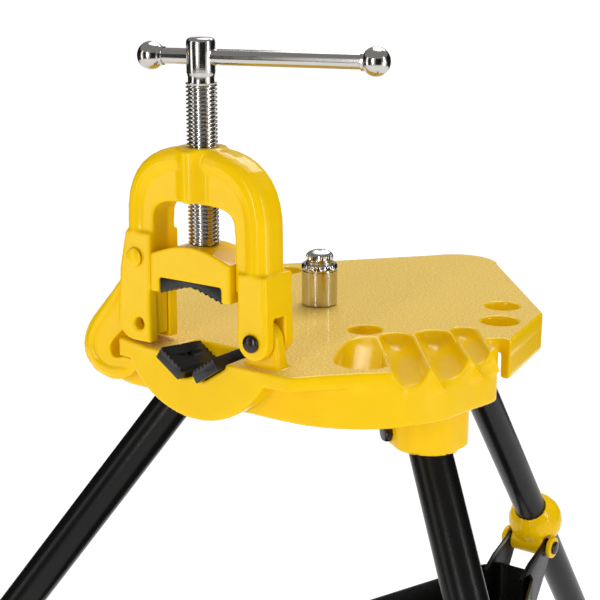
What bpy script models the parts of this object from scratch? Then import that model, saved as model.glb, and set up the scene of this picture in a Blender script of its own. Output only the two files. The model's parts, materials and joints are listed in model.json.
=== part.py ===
"""Yoke vise tristand: a cast bench top with a hinged pipe vise, on three folding legs with a brace tray.

Metres, +Z up. The pipe runs along Y, the operator stands on the -Y side, and the floor is z = 0.
The origin lies on the floor under the middle of the three feet.
"""

import math

import bmesh
import bpy
from mathutils import Matrix, Vector

# Clearances
GAP = 0.0003
OVERRUN = 0.004
ROUND_STEPS = 24
SMALL_STEPS = 12
SHARP_DEG = 35

# Bench top
TOP_Z = 0.800
PLATE_THICK = 0.012
SKIRT_DEEP = 0.045
REAR_SKIRT_DEEP = 0.034
SKIRT_WALL = 0.009
LOBE_X = 0.068
LOBE_Y = 0.002
LOBE_R = 0.104
LOBE_END_DEG = -6
HORN_POINTS = ((0.1735, 0.008), (0.1765, 0.022), (0.1780, 0.034), (0.1765, 0.0405))
TAB_FRONT_X = 0.1755
TAB_FRONT_Y = 0.062
TAB_REAR_X = 0.1575
TAB_REAR_Y = 0.156
REAR_ROUND_R = 0.040
NOTCH_X = 0.1705
NOTCH_Y = 0.0512
NOTCH_R = 0.0120
TOOL_HOLE_X = 0.140
TOOL_HOLE_Y = 0.110
TOOL_HOLE_R = 0.0155
REAR_TOOL_HOLE_X = 0.118
REAR_TOOL_HOLE_Y = 0.156
REAR_TOOL_HOLE_R = 0.0145
BEND_HOLE_X = 0.063
BEND_HOLE_Y = 0.0205
BEND_HOLE_R = 0.0135

# Pipe bending grooves in the right rim: one bowl behind the rim, then three open channels side by side
PAD_LOW_Z = 0.768
PAD_POINTS = ((0.150, 0.082), (0.112, 0.080), (0.044, 0.004), (0.052, -0.086))
GROOVE_AZIMUTH_DEG = -51
GROOVE_Z = 0.8020
GROOVE_LONG = 0.120
GROOVES = ((0.0966, 0.0158, 0.0140), (0.1180, 0.0402, 0.0155), (0.1304, 0.0655, 0.0108))
BOWL_R = 0.022
BOWL_START = (0.0854, -0.0069, 0.8150)
BOWL_END = (0.1104, -0.0539, 0.7985)

# Vise body, cast in one with the bench top
VISE_Y = -0.108
BODY_FRONT_Y = -0.124
BODY_BACK_Y = -0.078
BODY_R = 0.078
BODY_ARC_Z = 0.8275
BODY_TOP_Z = 0.7995
NOSE_X = 0.0775
NOSE_TOP_Z = 0.8035
NOSE_LOW_Z = 0.8010
NOSE_ROOT_X = 0.0620
NOSE_ROOT_Z = 0.7842
LATCH_CORNER_Z = 0.7900
LATCH_ROOT_Z = 0.7872
NOSE_BACK_Y = -0.100
NOSE_FRONT_Y = -0.1152
HOOK_ROOM_X = 0.145
HOOK_ROOM_LOW_Z = 0.745
LEDGE_X = 0.092
LUG_LOW_Z = 0.792
LEDGE_UNDER_X = 0.062
LEDGE_BLEND_X = 0.118
LEDGE_BLEND_Y = -0.094

# Lower jaws
JAW_TOP_X = 0.025
JAW_TOP_Z = 0.8055
JAW_LOW_X = 0.0035
JAW_LOW_Z = 0.7910
JAW_THICK = 0.0105
JAW_FRONT_Y = -0.1315
JAW_BACK_Y = -0.0845
JAW_PITCH = 0.0052
JAW_TEETH = 6
TOOTH_DEEP = 0.0024
JAW_SCREW_R = 0.0028

# Yoke
YOKE_HALF_DEEP = 0.017
RIB_HALF_DEEP = 0.016
RIB_OUT_X = 0.0680
RIB_IN_X = 0.048
FLANGE_X = 0.040
FLANGE_HALF_DEEP = 0.0133
SPRING_Z = 0.898
RIB_TOP_Z = 0.961
FLANGE_CROWN_Z = 0.919
RIB_FOOT_Z = 0.856
CROWN_POWER = 2.7
BOSS_R = 0.0185
BOSS_LOW_Z = 0.9205
PIN_X = 0.058
PIN_Z = 0.8208
EAR_R = 0.0140
EAR_IN_X = 0.0445
EAR_OUT_X = 0.0705
EAR_TOP_Z = 0.872
LUG_HALF_DEEP = 0.006
LUG_PLAY = 0.0006
SLOT_TOP_Z = 0.829
HINGE_PIN_R = 0.005
HINGE_HEAD_R = 0.0068
HINGE_HEAD_TALL = 0.0042
LATCH_STEP_Z = 0.892
LATCH_STEP_X = 0.0658
LATCH_STEP_DROP = 0.030
LATCH_WIDE_X = 0.0725
LATCH_IN_X = 0.0425
LATCH_IN_Z = 0.848
LATCH_X = 0.0600
LATCH_Z = 0.8205
LATCH_R = 0.0165
LATCH_WIDE_Z = LATCH_STEP_Z - LATCH_STEP_DROP
LOCK_HOLE_X = 0.054
LOCK_HOLE_Z = 0.8185
LOCK_HOLE_R = 0.0050

# Hook
HOOK_X = -0.0555
HOOK_Z = 0.872
HOOK_HALF_THICK = 0.006
HOOK_PLAY = 0.0008
HOOK_HEAD_R = 0.0125
HOOK_SLOT_R = 0.0150
HOOK_HEAD_DEG = 150
HOOK_OPEN_DEG = 35
HOOK_BACK = ((-0.0830, 0.8480), (-0.1045, 0.8240), (-0.1195, 0.8060), (-0.1260, 0.7900), (-0.1240, 0.7765))
HOOK_LIP = ((-0.1145, 0.7665), (-0.1000, 0.7625), (-0.0866, 0.7636), (-0.0740, 0.7700), (-0.0665, 0.7785), (-0.0655, 0.7840))
HOOK_THROAT = ((-0.0830, 0.7838), (-0.0915, 0.7815), (-0.0960, 0.7850), (-0.0958, 0.7925), (-0.0860, 0.8030), (-0.0776, 0.8090))
HOOK_SHANK = ((-0.0660, 0.8085), (-0.0435, 0.8085))
RIVET_R = 0.0042
RIVET_HEAD_R = 0.0074
RIVET_HEAD_TALL = 0.0036

# Clamp screw, upper jaw and handle
SCREW_R = 0.0118
SCREW_HEAD_R = 0.0113
SCREW_HEAD_Z = 1.009
SCREW_HEAD_TALL = 0.032
SCREW_TOP_Z = SCREW_HEAD_Z + SCREW_HEAD_TALL
SCREW_NECK_R = 0.0085
SCREW_NECK_Z = 0.8875
SCREW_END_Z = 0.864
SCREW_BEVEL = 0.002
SCREW_PLAY = 0.0004
BAR_DROP = 0.014
BAR_Z = SCREW_TOP_Z - BAR_DROP
BAR_R = 0.0060
BAR_AZIMUTH_DEG = 16.5
BAR_SHORT = 0.040
BAR_LONG = 0.134
BALL_R = 0.0106
BALL_SEAT = 0.0075
SADDLE_X = 0.0394
SADDLE_HALF_DEEP = 0.0185
SADDLE_TOP_Z = 0.8865
SADDLE_SIDE_Z = 0.877
SADDLE_LOW_Z = 0.846
SADDLE_CHEEK_Z = 0.8475
UPPER_JAW_X = 0.0300
UPPER_JAW_TIP_Z = 0.8465
UPPER_JAW_ROOF_Z = 0.8590
UPPER_JAW_V = 0.009
UPPER_JAW_HALF_DEEP = 0.0175

# Ceiling brace screw
BRACE_X = -0.016
BRACE_Y = 0.068
BRACE_HEAD_R = 0.0157
BRACE_SHAFT_R = 0.0115
BRACE_BOSS_R = 0.021
BRACE_BOSS_DEEP = 0.040
BRACE_SHAFT_DEEP = 0.090
BRACE_SHOULDER_Z = 0.837
BRACE_CAP_R = 0.0120
BRACE_CAP_Z = 0.843
BRACE_TOP_Z = 0.849
BRACE_SEAM = 0.0016

# Legs
SPLAY_DEG = 36.75
FRONT_PIVOT_X = 0.1215
FRONT_PIVOT_Y = 0.0211
FRONT_AZIMUTH_DEG = 55.2
REAR_PIVOT_Y = 0.2840
PIVOT_Z = 0.727
TUBE_R = 0.0175
TUBE_WALL = 0.003
TUBE_HEAD = 0.012
CUP_R = 0.031
CUP_LOW_Z = 0.716
CUP_ROOF_R = 0.0220
CUP_CORNER_R = 0.017
CUP_FLARE = 0.060
SWEEP_PLAY = 0.0015
FOLD_DEG = 22
BOLT_R = 0.005
BOLT_HEAD_R = 0.0080
BOLT_HEAD_THICK = 0.0055
FOOT_R = 0.0215
FOOT_WALL = 0.0035
FOOT_LONG = 0.055
FOOT_FLOOR = 0.008

# Collars and brace tray
PIN_ALONG = 0.3525
PIN_INWARD = 0.024
COLLAR_R = 0.031
COLLAR_HALF_LONG = 0.025
COLLAR_BACK = 0.013
COLLAR_LUG_R = 0.0125
COLLAR_PIN_R = 0.005
COLLAR_PIN_HEAD_R = 0.0075
COLLAR_PIN_HEAD = 0.003
COLLAR_HALF_WIDE = 0.0310
SLOT_PLAY = 0.0005
ARM_IN = 0.0200
ARM_THICK = 0.005
ARM_R = 0.009
ARM_RISE = ((-0.0650, -0.0172), (-0.0447, -0.0055))
ARM_FALL = ((-0.0097, -0.0312), (-0.0380, -0.0722), (-0.0650, -0.0722))
RAIL_IN = 0.0240
RAIL_THICK = 0.004
RAIL_EDGE = 0.0052
RAIL_BLEND = 0.030
TRAY_LOW_Z = 0.357
TRAY_RIM_Z = 0.413
TRAY_WALL = 0.0025
TRAY_FLOOR = 0.003
TRAY_FRONT_Y = -0.070
TRAY_TAIL = ((0.033, 0.420), (0.019, 0.438))

SPLAY = math.radians(SPLAY_DEG)
PLATE_LOW_Z = TOP_Z - PLATE_THICK
BAR_WAY = math.radians(BAR_AZIMUTH_DEG)
LEG_DOWN = Vector((math.sin(SPLAY), -math.cos(SPLAY)))
LEG_IN = Vector((-math.cos(SPLAY), -math.sin(SPLAY)))
COLLAR_PIN = LEG_DOWN * PIN_ALONG + LEG_IN * PIN_INWARD
FOLDED_PIN = Matrix.Rotation(-math.radians(FOLD_DEG), 2) @ COLLAR_PIN
HALF_AZIMUTH = math.radians(FRONT_AZIMUTH_DEG) / 2
RAIL_TRAVEL = 2 * math.cos(HALF_AZIMUTH) * (COLLAR_PIN.x - FOLDED_PIN.x)
RAIL_START = -(RAIL_IN + RAIL_THICK / 2) * math.tan(HALF_AZIMUTH)
RAIL_LUG = (RAIL_IN - SWEEP_PLAY - COLLAR_LUG_R * math.sin(HALF_AZIMUTH)) / math.cos(HALF_AZIMUTH)
PIN_FAR = (RAIL_IN + RAIL_THICK + SLOT_PLAY + COLLAR_PIN_HEAD_R * math.sin(HALF_AZIMUTH)) / math.cos(HALF_AZIMUTH)
FOOT_ALONG = PIVOT_Z / math.cos(SPLAY)
FOOT_REACH = PIVOT_Z * math.tan(SPLAY)
REAR_FOOT_Y = REAR_PIVOT_Y + FOOT_REACH
FRONT_FOOT_Y = FRONT_PIVOT_Y - FOOT_REACH * math.cos(math.radians(FRONT_AZIMUTH_DEG))
FOOT_BACK = FOOT_R / math.cos(SPLAY)
FRONT_FOOT_HALF = math.hypot(
    FOOT_BACK * math.cos(math.radians(FRONT_AZIMUTH_DEG)),
    FOOT_R * math.sin(math.radians(FRONT_AZIMUTH_DEG)),
)
MIDDLE_Y = (REAR_FOOT_Y + FOOT_BACK + FRONT_FOOT_Y - FRONT_FOOT_HALF) / 2
CORNER_SHARE = 0.7
RIB_ROUND_SHARE = 0.95

# Colours and finishes
FINISHES = {
    "yellow_enamel": ((0.90, 0.62, 0.01), 0.28, 0.0),
    "black_enamel": ((0.012, 0.012, 0.013), 0.22, 0.0),
    "chrome_steel": ((0.78, 0.78, 0.80), 0.14, 1.0),
    "jaw_steel": ((0.025, 0.025, 0.027), 0.45, 0.6),
    "pin_steel": ((0.06, 0.05, 0.05), 0.25, 0.9),
    "black_rubber": ((0.02, 0.02, 0.02), 0.75, 0.0),
}


def clear_scene():
    for old in list(bpy.data.objects):
        bpy.data.objects.remove(old)


def finish(name):
    """The shared material of one finish."""
    known = bpy.data.materials.get(name)
    if known:
        return known
    colour, roughness, metallic = FINISHES[name]
    material = bpy.data.materials.new(name)
    material.use_nodes = True
    shader = material.node_tree.nodes["Principled BSDF"]
    shader.inputs["Base Color"].default_value = (*colour, 1)
    shader.inputs["Roughness"].default_value = roughness
    shader.inputs["Metallic"].default_value = metallic
    return material


def place(name, mesh, look=None, at=(0, 0, 0)):
    """A new object from a mesh whose points are in the stand's frame, with its origin moved to at."""
    at = Vector(at)
    bmesh.ops.recalc_face_normals(mesh, faces=mesh.faces)
    bmesh.ops.translate(mesh, verts=mesh.verts, vec=-at)
    data = bpy.data.meshes.new(name)
    mesh.to_mesh(data)
    mesh.free()
    data.shade_smooth()
    data.set_sharp_from_angle(angle=math.radians(SHARP_DEG))
    thing = bpy.data.objects.new(name, data)
    bpy.context.scene.collection.objects.link(thing)
    thing.location = at
    if look:
        data.materials.append(finish(look))
    thing.parent = STAND
    return thing


def helper(name, mesh):
    """A shape that is only joined to or cut from a piece."""
    shape = place(name, mesh)
    shape.hide_render = True
    shape.display_type = "WIRE"
    return shape


def boolean(piece, shape, operation):
    step = piece.modifiers.new(f"{operation.lower()} {shape.name}", "BOOLEAN")
    step.operation = operation
    step.solver = "EXACT"
    step.object = shape


def join(piece, name, mesh):
    boolean(piece, helper(name, mesh), "UNION")


def cut(piece, name, mesh):
    boolean(piece, helper(name, mesh), "DIFFERENCE")


def prism(outline, low, high, frame=None):
    """An outline of (a, b) points carried from low to high along the third axis of a frame."""
    mesh = bmesh.new()
    face = mesh.faces.new([mesh.verts.new((a, b, low)) for a, b in outline])
    grown = bmesh.ops.extrude_face_region(mesh, geom=[face])["geom"]
    moved = [item for item in grown if isinstance(item, bmesh.types.BMVert)]
    bmesh.ops.translate(mesh, verts=moved, vec=(0, 0, high - low))
    if frame:
        bmesh.ops.transform(mesh, matrix=frame, verts=mesh.verts)
    return mesh


def front_view(outline, front, back):
    """An outline of (x, z) points carried from y = front to y = back."""
    return prism([(x, z) for x, z in outline], -back, -front, Matrix.Rotation(math.pi / 2, 4, "X"))


def turned(profile, frame=None, steps=ROUND_STEPS):
    """A profile of (radius, height) points, from one end of the axis to the other, turned round Z."""
    mesh = bmesh.new()
    points = [mesh.verts.new((radius, 0, height)) for radius, height in profile]
    edges = [mesh.edges.new(pair) for pair in zip(points, points[1:])]
    bmesh.ops.spin(
        mesh,
        geom=points + edges,
        cent=(0, 0, 0),
        axis=(0, 0, 1),
        angle=2 * math.pi,
        steps=steps,
    )
    bmesh.ops.remove_doubles(mesh, verts=mesh.verts, dist=GAP / 10)
    if frame:
        bmesh.ops.transform(mesh, matrix=frame, verts=mesh.verts)
    return mesh


def rod(radius, low, high, frame=None, steps=ROUND_STEPS):
    return turned([(0, low), (radius, low), (radius, high), (0, high)], frame, steps)


def ball(radius, centre, steps):
    mesh = bmesh.new()
    bmesh.ops.create_uvsphere(mesh, u_segments=steps, v_segments=steps // 2, radius=radius)
    bmesh.ops.translate(mesh, verts=mesh.verts, vec=centre)
    return mesh


def curve(points, steps):
    """A smooth line through points: each stretch is a cubic whose slopes come from the neighbours."""
    points = [Vector(point) for point in points]
    ends = [2 * points[0] - points[1]] + points + [2 * points[-1] - points[-2]]
    line = []
    for before, start, end, after in zip(ends, ends[1:], ends[2:], ends[3:]):
        for step in range(steps):
            s = step / steps
            bend = (end - before) * s + (2 * before - 5 * start + 4 * end - after) * s * s
            line.append(tuple(start + (bend + (3 * start - before - 3 * end + after) * s**3) / 2))
    return line + [tuple(points[-1])]


def arc(centre_a, centre_b, radius, start_deg, end_deg, steps):
    """Points on a circle, from one angle to another."""
    points = []
    for step in range(steps + 1):
        angle = math.radians(start_deg + (end_deg - start_deg) * step / steps)
        points.append((centre_a + radius * math.cos(angle), centre_b + radius * math.sin(angle)))
    return points


def along(origin, direction):
    """A frame whose Z runs along a direction."""
    turn = Vector(direction).normalized().to_track_quat("Z", "Y").to_matrix().to_4x4()
    return Matrix.Translation(Vector(origin)) @ turn


def beside(x, z):
    """A frame at (x, z) in the vise's middle plane whose Z runs back along the pipe."""
    return along((x, VISE_Y, z), (0, 1, 0))


class Leg:
    """One leg's own plane: r runs outwards from its pivot, z up, and t sideways, with hand its side by the tray."""

    def __init__(self, name, x, y, azimuth_deg):
        turn = math.radians(azimuth_deg)
        self.name = name
        self.foot = Vector((x, y, 0))
        self.out = Vector((math.sin(turn), -math.cos(turn), 0))
        self.side = Vector((0, 0, 1)).cross(self.out)
        self.pivot = self.point(0, PIVOT_Z)
        self.hand = -math.copysign(1, x) if x else 0

    def point(self, r, z, t=0.0):
        return self.foot + self.out * r + self.side * t + Vector((0, 0, z))

    def spot(self, offset, t=0.0):
        """A point given by its (r, z) offset from the pivot."""
        return self.point(offset.x, PIVOT_Z + offset.y, t)

    def plane(self, offset=Vector((0, 0))):
        """A frame with X outwards, Y up and Z sideways, at an offset from the pivot."""
        turn = Matrix((self.out, (0, 0, 1), -self.side)).transposed()
        return Matrix.Translation(self.spot(offset)) @ turn.to_4x4()

    def axis(self):
        """A frame at the pivot whose Z runs down the leg."""
        down = self.out * LEG_DOWN.x + Vector((0, 0, LEG_DOWN.y))
        inward = self.out * LEG_IN.x + Vector((0, 0, LEG_IN.y))
        turn = Matrix((inward, down.cross(inward), down)).transposed()
        return Matrix.Translation(self.pivot) @ turn.to_4x4()


LEGS = (
    Leg("front_left", -FRONT_PIVOT_X, FRONT_PIVOT_Y, -FRONT_AZIMUTH_DEG),
    Leg("front_right", FRONT_PIVOT_X, FRONT_PIVOT_Y, FRONT_AZIMUTH_DEG),
    Leg("rear", 0, REAR_PIVOT_Y, 180),
)


def mirrored(points):
    """Points of the +X half, front to back, closed by their mirror image."""
    return points + [(-x, y) for x, y in reversed(points) if x > 0]


def plate_outline(inset):
    """The bench top seen from above, drawn in from its edge by an inset."""
    right = [(NOSE_X - inset, BODY_FRONT_Y + inset), (LEDGE_X - inset, BODY_FRONT_Y + inset)]
    right.append((LEDGE_BLEND_X - inset, LEDGE_BLEND_Y + inset))
    right += arc(LOBE_X, LOBE_Y, LOBE_R - inset, -52, LOBE_END_DEG, 9)
    right += [(x - inset, y) for x, y in HORN_POINTS]
    right.append((TAB_FRONT_X - inset, TAB_FRONT_Y))
    right.append((TAB_REAR_X - inset, TAB_REAR_Y))
    right += arc(0, REAR_PIVOT_Y, REAR_ROUND_R - inset, 26, 90, 6)
    return mirrored(right)


def skirt_outline(inset):
    """The skirt's outline: the bench top's without the part over the vise body."""
    right = arc(LOBE_X, LOBE_Y, LOBE_R - inset, -90, LOBE_END_DEG, 16)
    right += [(x - inset, y) for x, y in HORN_POINTS]
    right.append((TAB_FRONT_X - inset, TAB_FRONT_Y))
    right.append((TAB_REAR_X - inset, TAB_REAR_Y))
    right += arc(0, REAR_PIVOT_Y, REAR_ROUND_R - inset, 26, 90, 6)
    return mirrored(right)


def body_outline():
    """The vise body from the front: a round belly with the latch nose on the left."""
    top = [(NOSE_X, BODY_TOP_Z)]
    belly = arc(0, BODY_ARC_Z, BODY_R, -28, -143, 22)
    nose = [(-NOSE_ROOT_X, NOSE_ROOT_Z), (-NOSE_X, NOSE_LOW_Z), (-NOSE_X, NOSE_TOP_Z), (-LATCH_IN_X, BODY_TOP_Z)]
    return top + belly + nose


def seat_outline(side):
    """One half of the V seat that holds the lower jaws, open at the top."""
    seat_x, seat_z = jaw_corner(JAW_TOP_X, JAW_TOP_Z)
    low_x, low_z = jaw_corner(JAW_LOW_X, JAW_LOW_Z)
    wide = seat_x + 2 * GAP
    half = [(0, low_z + JAW_LOW_X), (low_x, low_z - GAP), (wide, seat_z - GAP), (wide, TOP_Z + 2 * OVERRUN)]
    half += [(-GAP, TOP_Z + 2 * OVERRUN), (-GAP, low_z + JAW_LOW_X)]
    return [(side * x, z) for x, z in half]


def pitched(mesh, drop):
    """The mesh with its back lowered: nothing at the jaws' front end, the whole drop at their back end."""
    for point in mesh.verts:
        point.co.z -= drop * (point.co.y - JAW_FRONT_Y) / (JAW_BACK_Y - JAW_FRONT_Y)
    return mesh


def jaw_corner(x, z):
    """The point under a point of the right jaw's face, through the jaw's thickness."""
    slope = math.atan2(JAW_TOP_Z - JAW_LOW_Z, JAW_TOP_X - JAW_LOW_X)
    return x + JAW_THICK * math.sin(slope), z - JAW_THICK * math.cos(slope)


def fold_sweep():
    """The (r, z) outline that a leg needs in its cup, from standing to folded."""
    room = TUBE_R + SWEEP_PLAY
    outer = math.radians(SPLAY_DEG)
    inner = math.radians(SPLAY_DEG - FOLD_DEG)
    out_foot = (
        CUP_FLARE * math.sin(outer) + room * math.cos(outer),
        -CUP_FLARE * math.cos(outer) + room * math.sin(outer),
    )
    in_foot = (
        CUP_FLARE * math.sin(inner) - room * math.cos(inner),
        -CUP_FLARE * math.cos(inner) - room * math.sin(inner),
    )
    roof = arc(0, 0, CUP_ROOF_R, 25, 195, 14)
    return roof + [in_foot, out_foot]


def capsule(start, end, radius, steps):
    """A round-ended rod between two points."""
    start, end = Vector(start), Vector(end)
    length = (end - start).length
    angles = [math.pi / 2 * step / 3 for step in range(4)]
    near = [(radius * math.sin(a), -radius * math.cos(a)) for a in angles]
    far = [(radius * math.cos(a), length + radius * math.sin(a)) for a in angles]
    near[0] = (0, -radius)
    far[-1] = (0, length + radius)
    return turned(near + far, along(start, end - start), steps)


def make_base_casting():
    """Bench top, skirt, vise body, hinge lug and leg cups, cast as one."""
    skirt = prism(skirt_outline(GAP), TOP_Z - SKIRT_DEEP, TOP_Z - GAP)
    casting = place("base_casting", skirt, "yellow_enamel")
    cut(casting, "skirt_hollow", prism(skirt_outline(SKIRT_WALL), PIVOT_Z, PLATE_LOW_Z + GAP))
    pad = arc(LOBE_X, LOBE_Y, LOBE_R - SKIRT_WALL / 2, -92, LOBE_END_DEG, 12)
    pad += [(x - SKIRT_WALL / 2, y) for x, y in HORN_POINTS[:-1]] + list(PAD_POINTS)
    join(casting, "bending_pad", prism(pad, PAD_LOW_Z, PLATE_LOW_Z + 2 * GAP))
    wide = TAB_FRONT_X + OVERRUN
    step = [(-wide, NOTCH_Y), (wide, NOTCH_Y), (wide, REAR_FOOT_Y), (-wide, REAR_FOOT_Y)]
    cut(casting, "shallow_rear_skirt", prism(step, PIVOT_Z, TOP_Z - REAR_SKIRT_DEEP))
    join(casting, "plate", prism(plate_outline(0), PLATE_LOW_Z, TOP_Z))
    join(casting, "vise_body", front_view(body_outline(), BODY_FRONT_Y - GAP, BODY_BACK_Y))
    for side, drop in ((-1, JAW_PITCH), (1, 0)):
        seat = front_view(seat_outline(side), BODY_FRONT_Y - OVERRUN, JAW_BACK_Y + GAP)
        cut(casting, f"jaw_seat_{side}", pitched(seat, drop))
    lug = arc(PIN_X, PIN_Z, EAR_R, 0, 180, 12)
    lug += [(PIN_X - EAR_R, LUG_LOW_Z), (NOSE_X - GAP, LUG_LOW_Z)]
    join(casting, "hinge_lug", front_view(lug, VISE_Y - LUG_HALF_DEEP, VISE_Y + LUG_HALF_DEEP))
    join(casting, "brace_boss", rod(BRACE_BOSS_R, -BRACE_BOSS_DEEP, -GAP, Matrix.Translation((BRACE_X, BRACE_Y, TOP_Z))))
    for leg in LEGS:
        corner = CUP_R - CUP_CORNER_R
        cup = arc(corner, corner, CUP_CORNER_R, 0, 90, 6)
        cup += [(-a, b) for a, b in reversed(cup)]
        cup += [(-a, -b) for a, b in cup]
        frame = Matrix((leg.out, leg.side, (0, 0, 1))).transposed().to_4x4()
        frame = Matrix.Translation(leg.foot) @ frame
        join(casting, f"{leg.name}_cup", prism(cup, CUP_LOW_Z, TOP_Z - PLATE_THICK / 2, frame))
    for leg in LEGS:
        room = TUBE_R + SWEEP_PLAY
        cut(casting, f"{leg.name}_sweep", prism(fold_sweep(), -room, room, leg.plane()))
        bolt_way = along(leg.pivot, leg.side)
        cut(casting, f"{leg.name}_bolt_hole", rod(BOLT_R + GAP, -CUP_R - OVERRUN, CUP_R + OVERRUN, bolt_way, SMALL_STEPS))
    low, high = TOP_Z - SKIRT_DEEP - OVERRUN, TOP_Z + OVERRUN
    for side in (-1, 1):
        holes = (
            (TOOL_HOLE_X, TOOL_HOLE_Y, TOOL_HOLE_R),
            (REAR_TOOL_HOLE_X, REAR_TOOL_HOLE_Y, REAR_TOOL_HOLE_R),
            (NOTCH_X, NOTCH_Y, NOTCH_R),
        )
        for number, (x, y, radius) in enumerate(holes):
            cut(casting, f"tool_hole_{side}_{number}", rod(radius, low, high, Matrix.Translation((side * x, y, 0)), 20))
    cut(casting, "bend_hole", rod(BEND_HOLE_R, low, high, Matrix.Translation((BEND_HOLE_X, BEND_HOLE_Y, 0)), 20))
    cut(casting, "brace_bore", rod(BRACE_SHAFT_R + GAP, low, high, Matrix.Translation((BRACE_X, BRACE_Y, 0)), 20))
    turn = math.radians(GROOVE_AZIMUTH_DEG)
    way = Vector((math.cos(turn), math.sin(turn), 0)) * GROOVE_LONG
    for number, (x, y, radius) in enumerate(GROOVES):
        start = Vector((x, y, GROOVE_Z))
        cut(casting, f"groove_{number}", capsule(start, start + way, radius, 20))
    cut(casting, "bowl", capsule(BOWL_START, BOWL_END, BOWL_R, 20))
    corner = (-NOSE_X, LATCH_CORNER_Z)
    room = [(-HOOK_ROOM_X, HOOK_ROOM_LOW_Z), (-LEDGE_UNDER_X, HOOK_ROOM_LOW_Z), (-LEDGE_UNDER_X, LATCH_ROOT_Z)]
    room += [corner, (-NOSE_X, TOP_Z + 2 * OVERRUN), (-HOOK_ROOM_X, TOP_Z + 2 * OVERRUN)]
    cut(casting, "hook_room", front_view(room, NOSE_FRONT_Y, NOSE_BACK_Y))
    clear = [(-HOOK_ROOM_X, HOOK_ROOM_LOW_Z), (-NOSE_X, HOOK_ROOM_LOW_Z), corner]
    clear += [(-NOSE_X, TOP_Z + 2 * OVERRUN), (-HOOK_ROOM_X, TOP_Z + 2 * OVERRUN)]
    cut(casting, "nose_front", front_view(clear, BODY_FRONT_Y - OVERRUN, NOSE_FRONT_Y + GAP))
    cut(casting, "hinge_pin_hole", rod(HINGE_PIN_R + GAP, -YOKE_HALF_DEEP, YOKE_HALF_DEEP, beside(PIN_X, PIN_Z), SMALL_STEPS))
    return casting


def make_lower_jaws():
    """The two hardened jaws that form the V, with teeth along the pipe."""
    face = Vector((JAW_TOP_X - JAW_LOW_X, JAW_TOP_Z - JAW_LOW_Z))
    normal = Vector((-face.y, face.x)).normalized()
    teeth = []
    for tooth in range(JAW_TEETH):
        root = Vector((JAW_LOW_X, JAW_LOW_Z)) + face * (tooth / JAW_TEETH)
        tip = Vector((JAW_LOW_X, JAW_LOW_Z)) + face * ((tooth + 1) / JAW_TEETH)
        teeth.append(tuple(root - normal * TOOTH_DEEP))
        teeth.append(tuple(tip))
    back = [jaw_corner(JAW_TOP_X, JAW_TOP_Z), jaw_corner(JAW_LOW_X, JAW_LOW_Z)]
    outline = teeth + back
    for name, side, drop in (("lower_jaw_left", -1, JAW_PITCH), ("lower_jaw_right", 1, 0)):
        shape = [(side * x, z) for x, z in outline]
        jaw = place(name, pitched(front_view(shape, JAW_FRONT_Y, JAW_BACK_Y), drop), "jaw_steel")
        middle = Vector((JAW_LOW_X, JAW_LOW_Z)) + face / 2
        way = along((side * middle.x, (JAW_FRONT_Y + JAW_BACK_Y) / 2, middle.y), (side * normal.x, 0, normal.y))
        cut(jaw, f"{name}_screw_hole", rod(JAW_SCREW_R, -JAW_THICK / 2, OVERRUN, way, SMALL_STEPS))


def crown(half_wide, spring, top, power, steps):
    """A squarish arch from the right spring over the top to the left: a superellipse."""
    points = []
    for step in range(steps + 1):
        angle = math.pi * step / steps
        c, s = math.cos(angle), math.sin(angle)
        x = half_wide * math.copysign(abs(c) ** (2 / power), c)
        points.append((x, spring + (top - spring) * abs(s) ** (2 / power)))
    return points


def swept_rib():
    """The yoke's outer rib: a rounded section carried up one side, over the crown and down the other."""
    middle_x = (RIB_OUT_X + RIB_IN_X) / 2
    half = (RIB_OUT_X - RIB_IN_X) / 2
    path = [(middle_x, RIB_FOOT_Z)] + crown(middle_x, SPRING_Z, RIB_TOP_Z - half, CROWN_POWER, 20)
    path.append((-middle_x, RIB_FOOT_Z))
    corner = half * RIB_ROUND_SHARE
    section = arc(half - corner, RIB_HALF_DEEP - corner, corner, 0, 90, 3)
    section += [(-a, b) for a, b in reversed(section)]
    section += [(-a, -b) for a, b in section]
    mesh = bmesh.new()
    rings = []
    for number, (x, z) in enumerate(path):
        before = Vector(path[max(number - 1, 0)])
        after = Vector(path[min(number + 1, len(path) - 1)])
        way = (after - before).normalized()
        out = Vector((way.y, -way.x))
        rings.append([mesh.verts.new((x + out.x * a, VISE_Y + b, z + out.y * a)) for a, b in section])
    for one, two in zip(rings, rings[1:]):
        for corner_number in range(len(section)):
            following = (corner_number + 1) % len(section)
            mesh.faces.new((one[corner_number], one[following], two[following], two[corner_number]))
    mesh.faces.new(rings[0])
    mesh.faces.new(rings[-1])
    return mesh


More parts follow.
